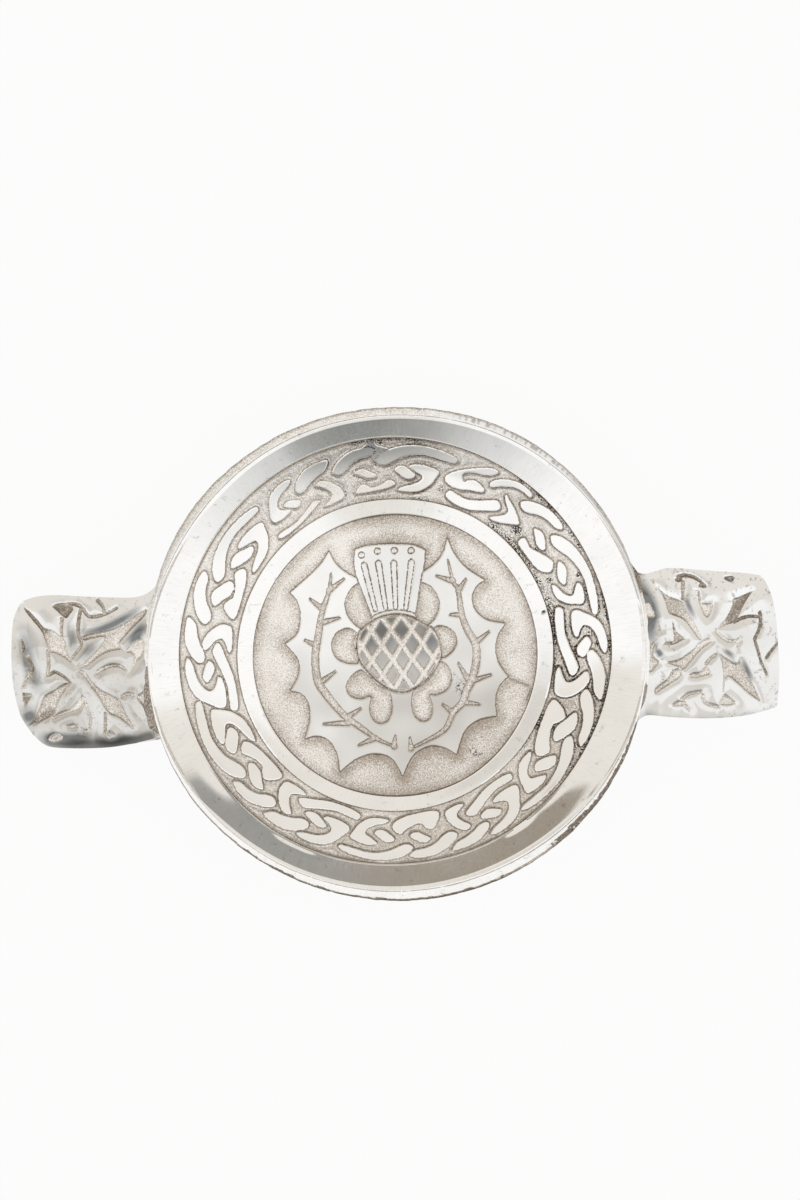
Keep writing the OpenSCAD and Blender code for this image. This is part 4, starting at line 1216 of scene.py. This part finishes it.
RIGHT_LUG = {
    "corner": (620, 540), "square": 1.2755, "side": 1, "rise": 0.8,
    "rolls": {"top": 0.4, "end": 0.7, "bottom": 0.5},
    "top": [(3, 3), (7.5, 12), (11, 19.5), (15, 25), (20, 26.4), (29, 24.3), (40, 21.8), (70, 24),
            (98, 25.8), (112, 28)],
    "end": [(124, 131), (125.5, 110), (125, 90), (123, 62), (119, 42), (112, 28)],
    "bottom": [(10, 150), (14, 143.5), (19, 138.8), (25, 137.5), (40, 139), (70, 140), (100, 137.5),
               (124, 131)],
    "areas": [
        [(8.5, 13.5), (11.5, 16), (14.5, 20.5), (17.5, 25), (14.5, 25), (11.5, 22.5), (9.5, 18)],
        [(29.5, 36.5), (34, 41), (40, 44.5), (47, 47), (49.5, 49), (53, 55.5), (57, 62), (61, 69),
         (64.5, 77.5), (62, 78), (58, 73), (53, 66), (49, 62), (43, 59.5), (39, 58), (37, 54), (35, 47),
         (32, 41)],
        [(104.5, 40), (98, 42.5), (93, 44.5), (88.5, 46.5), (88.5, 50), (86, 56), (82.5, 62), (78, 67),
         (75.5, 70.5), (79, 69), (84, 66.5), (90, 64.5), (93, 60), (96, 54), (99, 48), (102, 43.5)],
        [(91, 80), (95, 78), (93.5, 83), (92.8, 86.5)],
        [(61, 81), (65, 78.5), (70, 77), (72, 80), (66, 84), (62, 88), (58, 93), (54, 98), (50, 102),
         (47, 100), (42, 98.5), (37, 96), (43, 94.5), (48, 92.5), (53, 89), (58, 85)],
        [(27, 119.5), (29, 120.5), (34, 117), (40, 113), (46, 109), (49, 104), (46, 100.5), (43, 101.5),
         (40, 104), (38, 108), (33, 112), (28, 116)],
        [(75.5, 86), (80, 90), (86, 94), (91.5, 96.5), (93.5, 94), (96, 98), (101, 107), (106, 116),
         (111, 127), (106, 124), (100, 119.5), (93, 113), (86, 107.5), (83, 110), (81.5, 118), (80.5, 117),
         (81, 108), (80.5, 100), (78.5, 92)],
        [(54, 106), (58, 104), (62, 103.5), (66, 100), (68, 97), (70, 101), (71, 105), (66, 107),
         (60, 108.5), (55, 108)],
        [(41, 130), (44, 127), (48, 125.5), (52, 127), (51, 130), (46, 130.5)],
        [(78, 129), (80, 124), (82.5, 121), (87, 123.5), (91, 128), (85, 130)],
        [(43, 31), (46, 28), (49, 28), (49, 32), (46, 33)], [(62, 34.5), (65, 33.5), (68.5, 37), (63, 37)],
        [(61, 40), (62.5, 40), (63.5, 45), (64, 49), (72, 49.5), (73, 50.5), (72, 56), (69, 61), (66, 59),
         (63.5, 54), (61.5, 47)],
        [(82, 29), (87, 28), (90.5, 29), (88, 32.5), (84, 31.5)],
        [(18.5, 54), (20, 50), (22.5, 49), (25, 53), (27.5, 59.5), (24, 61), (20, 60)],
        [(29.5, 66), (31, 66), (32.5, 70), (30.5, 71.5)],
        [(23.5, 83), (26, 80), (28, 80), (27, 86), (26.5, 91), (31, 95.5), (28.5, 100), (25, 104),
         (21.5, 102), (20.5, 97), (22, 90)],
        [(41, 65), (42.5, 66), (43.5, 70), (47, 74), (51.5, 77.5), (48, 79), (45, 81), (40, 82.5), (35, 82),
         (36, 80), (42, 78.5)],
    ],
    "strokes": [
        [(46, 28.5), (52, 27.5), (58, 29), (63, 32), (67, 36)], [(49.5, 33), (49.5, 40), (49, 46)],
        [(90, 64), (95, 61.5), (101, 60), (109, 60)],
        [(110, 57), (110.5, 63), (110, 68), (107.5, 74), (106, 78), (108, 85), (110.5, 94), (113, 100),
         (115.5, 105)],
        [(75.5, 71), (79, 75), (84, 78.5), (89, 79.5), (93, 78)], [(68, 97), (71, 93), (76, 89.5)],
        [(49, 125), (53, 121.5), (58, 120), (64, 119)], [(51.5, 130), (54.5, 133.5)],
        [(65, 122), (66, 126), (70, 129), (78, 131)], [(115.5, 92), (119, 87), (124.5, 80.5)],
        [(16.5, 117), (15, 125), (12, 135)],
    ],
    "rusts": [[(92, 63), (101, 60), (109, 60)], [(110, 57), (110, 68), (106, 78), (110.5, 94), (115.5, 105)],
              [(115.5, 92), (124.5, 80.5)], [(101, 43), (94, 50), (86, 62)], [(83, 30), (90, 30)],
              [(46, 30), (56, 29), (66, 35)]],
    "browned": 0.05, "painted_warm_reflection": (0.3, 0.05), "specks": 0.5,
    "browns": [(15, 24, 6, 1), (-20, -8, 6, 1)], "wedge": (14, 20, 0.5), "ends": (0.2, 0.2),
    "painted_reflections": [([(11, 29), (17, 40), (22, 50), (24, 60), (23, 70), (24, 80)], 8, 0.95),
              ([(51, 45), (54, 52), (58, 60)], 3, 0.6), ([(96, 94), (100, 103), (103, 111)], 3, 0.7),
              ([(82, 86), (89, 91)], 2.5, 0.6), ([(29, 86), (33, 91)], 3, 0.8)],
}


def lug_drawn(points, lug):
    """Points of a lug's drawing, in mm on the object."""
    return drawn(points, lug["corner"], lug["square"], LUG_TOP_Z)


def side_curve(points, count, lug):
    """A side of a lug in evenly spaced points, in mm."""
    line = lug_drawn(open_curve(points), lug)
    length = np.concatenate([[0], np.cumsum(np.hypot(*np.diff(line, axis=0).T))])
    place = np.linspace(0, length[-1], count)
    return np.stack([np.interp(place, length, line[:, 0]), np.interp(place, length, line[:, 1])], axis=1)


def lug_plan(lug):
    """Grid of points over a lug: rows run up its side and columns run out from the bowl."""
    top = side_curve(lug["top"], LUG_CELLS_OUT + 1, lug)
    bottom = side_curve(lug["bottom"], LUG_CELLS_OUT + 1, lug)
    end = side_curve(lug["end"], LUG_CELLS_UP + 1, lug)
    root_y = np.linspace(bottom[0, 1], top[0, 1], LUG_CELLS_UP + 1)
    root = np.stack([lug["side"] * np.sqrt(LUG_ROOT_R ** 2 - root_y ** 2), root_y], axis=1)
    near_root = np.linspace(1, 0, LUG_CELLS_OUT + 1)[:, None] ** ROOT_POWER
    top = top + (root[-1] - top[0]) * near_root
    bottom = bottom + (root[0] - bottom[0]) * near_root
    out = np.linspace(0, 1, LUG_CELLS_OUT + 1)[None, :, None]
    up = np.linspace(0, 1, LUG_CELLS_UP + 1)[:, None, None]
    across = (1 - up) * bottom[None] + up * top[None]
    along = (1 - out) * root[:, None] + out * end[:, None]
    flat = ((1 - up) * ((1 - out) * bottom[0] + out * bottom[-1]) + up * ((1 - out) * top[0] + out * top[-1]))
    return across + along - flat


def lug_surface(x, y, middle, lug):
    """Height of a lug before its edges and relief: a low dome that rises to the bowl."""
    root = np.hypot(x, y) - ring_radius(RINGS[-1][1], np.arctan2(y, x))
    dome = ((x - middle[0]) ** 2 + (y - middle[1]) ** 2) / (2 * LUG_DOME_R)
    return LUG_TOP_Z - dome + lug["rise"] * (1 - np.clip(root / RISE_REACH, 0, 1)) ** 2


# Section of the solder, in mm out from the bowl and over the lug. Then its size at the ends, as a share, and
# how far its underside is over the lug's base, in mm
SEAM_SECTION = [(-0.9, 0.3), (-0.15, 0.28), (0.1, 0.14), (0.35, 0.0), (0.6, -0.12)]
SEAM_ENDS = 0.05
SEAM_BASE = 0.3


def build_seam(node, lug, seed):
    """The solder between a lug and the bowl: a thin fillet along the root, as deep as the lug."""
    plan = lug_plan(lug)
    root_x, root_y = plan[:, :1, 0], plan[:, :1, 1]
    angle = np.arctan2(root_y, root_x)
    out = np.array([row[0] for row in SEAM_SECTION])[None]
    above = np.array([row[1] for row in SEAM_SECTION])[None]
    share = np.linspace(0, 1, len(angle))[:, None]
    low_end, high_end = lug["ends"]
    full = SEAM_ENDS + (1 - SEAM_ENDS) * smooth(0, low_end, share) * smooth(1, 1 - high_end, share)
    start, end, growth = lug["wedge"]
    out = np.where(out > 0, out * (1 + growth * angle_window(angle, start, end, end - start)), out)
    radius = ring_radius(RINGS[-1][1], angle) + out[:, :1] + (out - out[:, :1]) * full
    x, y = radius * np.cos(angle), radius * np.sin(angle)
    z = lug_surface(x, y, plan.reshape(-1, 2).mean(0), lug) + above + 0.05 * noise(x, y, 0.8, seed)
    top = np.stack([x, y, z], axis=2)
    low = top[:, [-1, 0]].copy()
    low[:, :, 2] += (LUG_LOW_Z + SEAM_BASE - low[:, :, 2]) * full
    points = np.concatenate([top, low], axis=1)
    rows, columns = points.shape[:2]
    faces = grid_faces(rows, columns, False, True)
    faces.append(list(range(columns)))
    faces.append([(rows - 1) * columns + i for i in range(columns)])

    brown = np.broadcast_to(strongest(angle, lug["browns"]), (rows, columns))
    gap = -0.3 + 0.9 * brown + 0.1 * noise(points[:, :, 0], points[:, :, 1], 0.6, seed)
    marks = {"gap": gap, "stain_and_painted_shade": 0.5 * brown, "dull": np.full((rows, columns), 0.3), "dirt": 0.6 * brown}
    marks = {mark: values.ravel() for mark, values in marks.items()}
    piece = add_piece(node + "_seam", points.reshape(-1, 3), faces, marks, solder_metal)
    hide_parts(node)


def lug_marks(x, y, middle, gap, lug, seed):
    """Painted reflections in warm gray and dark gray, and soot, rust and stains in what is sunken."""
    # Painted reflection: polished metal warm gray, at one strength low on the lug and another toward its top
    near, far = lug["painted_warm_reflection"]
    up = y - middle[1]
    painted_warm_reflection = (near + (far - near) * smooth(3, 10, up)) * (0.95 + 0.3 * noise(x, y, 5, seed + 3))
    # Painted reflections: dark gray along lines over the lug
    gray_and_painted_reflection = np.zeros(x.shape)
    for line, half, strength in lug["painted_reflections"]:
        reach = half * lug["square"] / PX_PER_MM
        off, place = line_distance(x, y, lug_drawn(open_curve(line), lug))
        taper = 0.35 + 0.65 * np.sin(np.pi * place)
        gray_and_painted_reflection = np.maximum(gray_and_painted_reflection, PAINTED_REFLECTION_DARKNESS * strength * taper * smooth(1.3, 0.1, off / reach))
    speck = lug["specks"] * smooth(0.35, 0.65, noise(x, y, 0.5, seed + 4))
    speck = speck * smooth(-0.4, 0.4, noise(x, y, 6, seed + 5))
    rust = np.zeros(x.shape)
    for line in lug["rusts"]:
        rust = np.maximum(rust, smooth(*RUST_REACH, line_distance(x, y, lug_drawn(line, lug))[0]))
    rust = rust * smooth(0, 0.15, gap)
    stain_and_painted_shade = 0.35 * noise(x, y, 4, seed + 6) + lug["browned"] * smooth(0, 8, up) + 0.5 * rust
    return {"gray_and_painted_reflection": np.clip(gray_and_painted_reflection, 0, 1), "dirt": np.maximum(speck, 0.5 * rust), "stain_and_painted_shade": stain_and_painted_shade,
            "painted_warm_reflection": np.clip(painted_warm_reflection, 0, 1)}


def build_lug(node, lug, seed):
    """A lug: a pillow with rolled edges, cut with the sunken areas of its knot."""
    plan = lug_plan(lug)
    x, y = plan[:, :, 0], plan[:, :, 1]
    middle = plan.reshape(-1, 2).mean(0)
    roll = np.zeros(x.shape)
    for name, side in (("top", plan[-1]), ("end", plan[:, -1]), ("bottom", plan[0])):
        inward = np.clip(line_distance(x, y, side[::6])[0] / ROLL_W, 0, 1)
        roll = np.hypot(roll, lug["rolls"][name] * (1 - inward) ** 2)

    areas = nearest(x, y, [lug_drawn(closed_curve(area, 4), lug) for area in lug["areas"]])
    strokes = [lug_drawn(open_curve(line, 4), lug) for line in lug["strokes"]]
    gap = -np.minimum(areas, nearest_stroke(x, y, strokes, *STROKE_HALF))
    deep = pillow(gap, (-0.1, 0.5), 0.45, 0.2, 0.8)
    shoulder = 0.32 * np.exp(np.minimum(gap, 0) / 0.9)
    sand = 0.5 * noise(x, y, 0.5, seed) + 0.5 * noise(x, y, 1.2, seed + 1)
    z = (lug_surface(x, y, middle, lug) - roll - deep - shoulder + 0.06 * smooth(0, 0.3, gap) * sand
         + 0.06 * noise(x, y, 6, seed + 2))
    base = [(inset, LUG_LOW_Z + over) for inset, over in LUG_BASE]
    points, faces = skirted(np.stack([x, y, z], axis=2), base)

    marks = lug_marks(x, y, middle, gap, lug, seed)
    marks = {mark: padded_mark(values, len(points)) for mark, values in marks.items()}
    marks["gap"] = padded_mark(gap, len(points), -0.3)
    piece = add_piece(node + "_relief", points, faces, marks, lug_metal)
    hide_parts(node)


build_bowl()
build_band()
build_thistle()
build_lug("left_lug", LEFT_LUG, 31)
build_lug("right_lug", RIGHT_LUG, 41)
build_seam("left_lug_solder", LEFT_LUG, 51)
build_seam("right_lug_solder", RIGHT_LUG, 52)
for name, material in (("foot_ring_solder", fillet_metal), ("foot_ring", foot_metal)):
    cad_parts[name].data.materials.clear()
    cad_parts[name].data.materials.append(material)


# Studio: floor, soft light and camera

# Floor: colours, how far it is seen as white, and its half width and its drop below the foot in mm
WHITE = (1, 1, 1, 1)
FLOOR_GRAY = (0.9, 0.9, 0.9, 1)
FLOOR_SEEN = 0.9
FLOOR_HALF = 1500.0
FLOOR_DROP = 0.02


def floor_material():
    """White floor that the camera and the metal see as white, and that still takes a faint shadow."""
    material = bpy.data.materials.new("floor")
    material.use_nodes = True
    tree = material.node_tree
    tree.nodes.remove(tree.nodes["Principled BSDF"])
    rays = make(tree, "LightPath").outputs
    seen = calculated(tree, "MAXIMUM", rays["Is Camera Ray"], rays["Is Glossy Ray"])
    seen = calculated(tree, "MAXIMUM", seen, rays["Is Transmission Ray"])
    share = scaled(tree, seen, 0, 1, 0, FLOOR_SEEN)
    white = make(tree, "Emission", {"Color": WHITE, "Strength": 1.0}).outputs[0]
    matt = make(tree, "BsdfDiffuse", {"Color": FLOOR_GRAY}).outputs[0]
    mixed = make(tree, "MixShader", {0: share, 1: matt, 2: white}).outputs[0]
    tree.links.new(mixed, tree.nodes["Material Output"].inputs["Surface"])
    return material


def add_floor():
    """A wide floor just under the foot."""
    half = FLOOR_HALF * MM
    low = -FLOOR_DROP * MM
    corner_points = [(-half, -half, low), (half, -half, low), (half, half, low), (-half, half, low)]
    mesh = bpy.data.meshes.new("floor")
    mesh.from_pydata(corner_points, [], [(0, 1, 2, 3)])
    mesh.materials.append(floor_material())
    floor = bpy.data.objects.new("floor", mesh)
    bpy.context.scene.collection.objects.link(floor)


# Directions in the room, and the colours of its parts
TO_RIGHT = (1, 0, 0)
TO_FRONT = (0.12, -0.993, 0)
TO_BACK = (0.087, 0.996, 0)
TO_WARM = (-0.05, 0.999, 0)
TO_BESIDE = (-0.77, 0.64, 0)
TO_LENS = (0.05, -0.999, 0)
WARM = (0.82, 0.787, 0.735, 1)
BESIDE = (0.69, 0.665, 0.625, 1)
BY_LENS = (0.8, 0.78, 0.74, 1)
IN_FRONT = (0.26, 0.265, 0.26, 1)
BACK_LEFT = (0.34, 0.30, 0.25, 1)
BACK_RIGHT = (0.33, 0.325, 0.31, 1)


def light_room():
    """A white room that is warm at the back, and gray in a patch on the left and in a strip in front.

    Low down it is dark in front and at the back."""
    world = bpy.data.worlds.new("room")
    bpy.context.scene.world = world
    world.use_nodes = True
    tree = world.node_tree
    toward = make(tree, "TexCoord").outputs["Generated"]
    height = make(tree, "SeparateXYZ", {0: toward}).outputs["Z"]
    flat = make(tree, "VectorMath", {0: toward, 1: (1, 1, 0)}, operation="MULTIPLY").outputs[0]
    level = make(tree, "VectorMath", {0: flat}, operation="NORMALIZE").outputs[0]

    def along(vector, direction):
        """How far a vector points in a direction."""
        return make(tree, "VectorMath", {0: vector, 1: direction}, operation="DOT_PRODUCT").outputs["Value"]

    def step(value, start, full):
        """Smooth step from 0 at the start to 1 where it is full."""
        return make(tree, "MapRange", {"Value": value, "From Min": start, "From Max": full},
                    interpolation_type="SMOOTHSTEP").outputs[0]

    turn = calculated(tree, "ARCCOSINE", along(level, TO_FRONT), 0.0)
    front = times(tree, scaled(tree, turn, 0.08, 0.93, 1, 0), step(height, 0.78, 0.42))
    front = times(tree, front, scaled(tree, along(level, TO_RIGHT), 0.4, 0.44, 1, 0.72))
    back = times(tree, step(along(level, TO_BACK), 0.54, 0.6), step(height, 0.46, 0.36))
    beside = times(tree, step(along(level, TO_BESIDE), 0.7, 0.97), step(height, 0.988, 0.975))
    beside = times(tree, beside, step(height, 0.88, 0.91))
    lens = times(tree, step(along(level, TO_LENS), 0.93, 0.985), step(height, 0.985, 0.96))
    color = mix_color(tree, step(along(toward, TO_WARM), 0.07, 0.2), WHITE, WARM)
    color = mix_color(tree, beside, color, BESIDE)
    color = mix_color(tree, lens, color, BY_LENS)
    color = mix_color(tree, front, color, IN_FRONT)
    back_color = mix_color(tree, step(along(level, TO_RIGHT), -0.1, 0.5), BACK_LEFT, BACK_RIGHT)
    color = mix_color(tree, back, color, back_color)
    tree.links.new(color, tree.nodes["Background"].inputs["Color"])
    tree.nodes["Background"].inputs["Strength"].default_value = 1.0


# Height of the camera's sensor in mm
SENSOR = 36.0


def add_camera():
    """Straight above, turned as the photograph is, with the whole frame at the rim's height."""
    data = bpy.data.cameras.new("camera")
    data.sensor_fit = "VERTICAL"
    data.sensor_height = SENSOR
    data.lens = SENSOR * CAMERA_DISTANCE / (PHOTO_H / PX_PER_MM)
    camera = bpy.data.objects.new("camera", data)
    camera.location = (LENS_XY[0] * MM, LENS_XY[1] * MM, (RIM_Z + CAMERA_DISTANCE) * MM)
    camera.rotation_euler = (0, 0, -TURN)
    bpy.context.scene.collection.objects.link(camera)
    bpy.context.scene.camera = camera


add_floor()
light_room()
add_camera()
bpy.context.scene.view_settings.view_transform = "Standard"
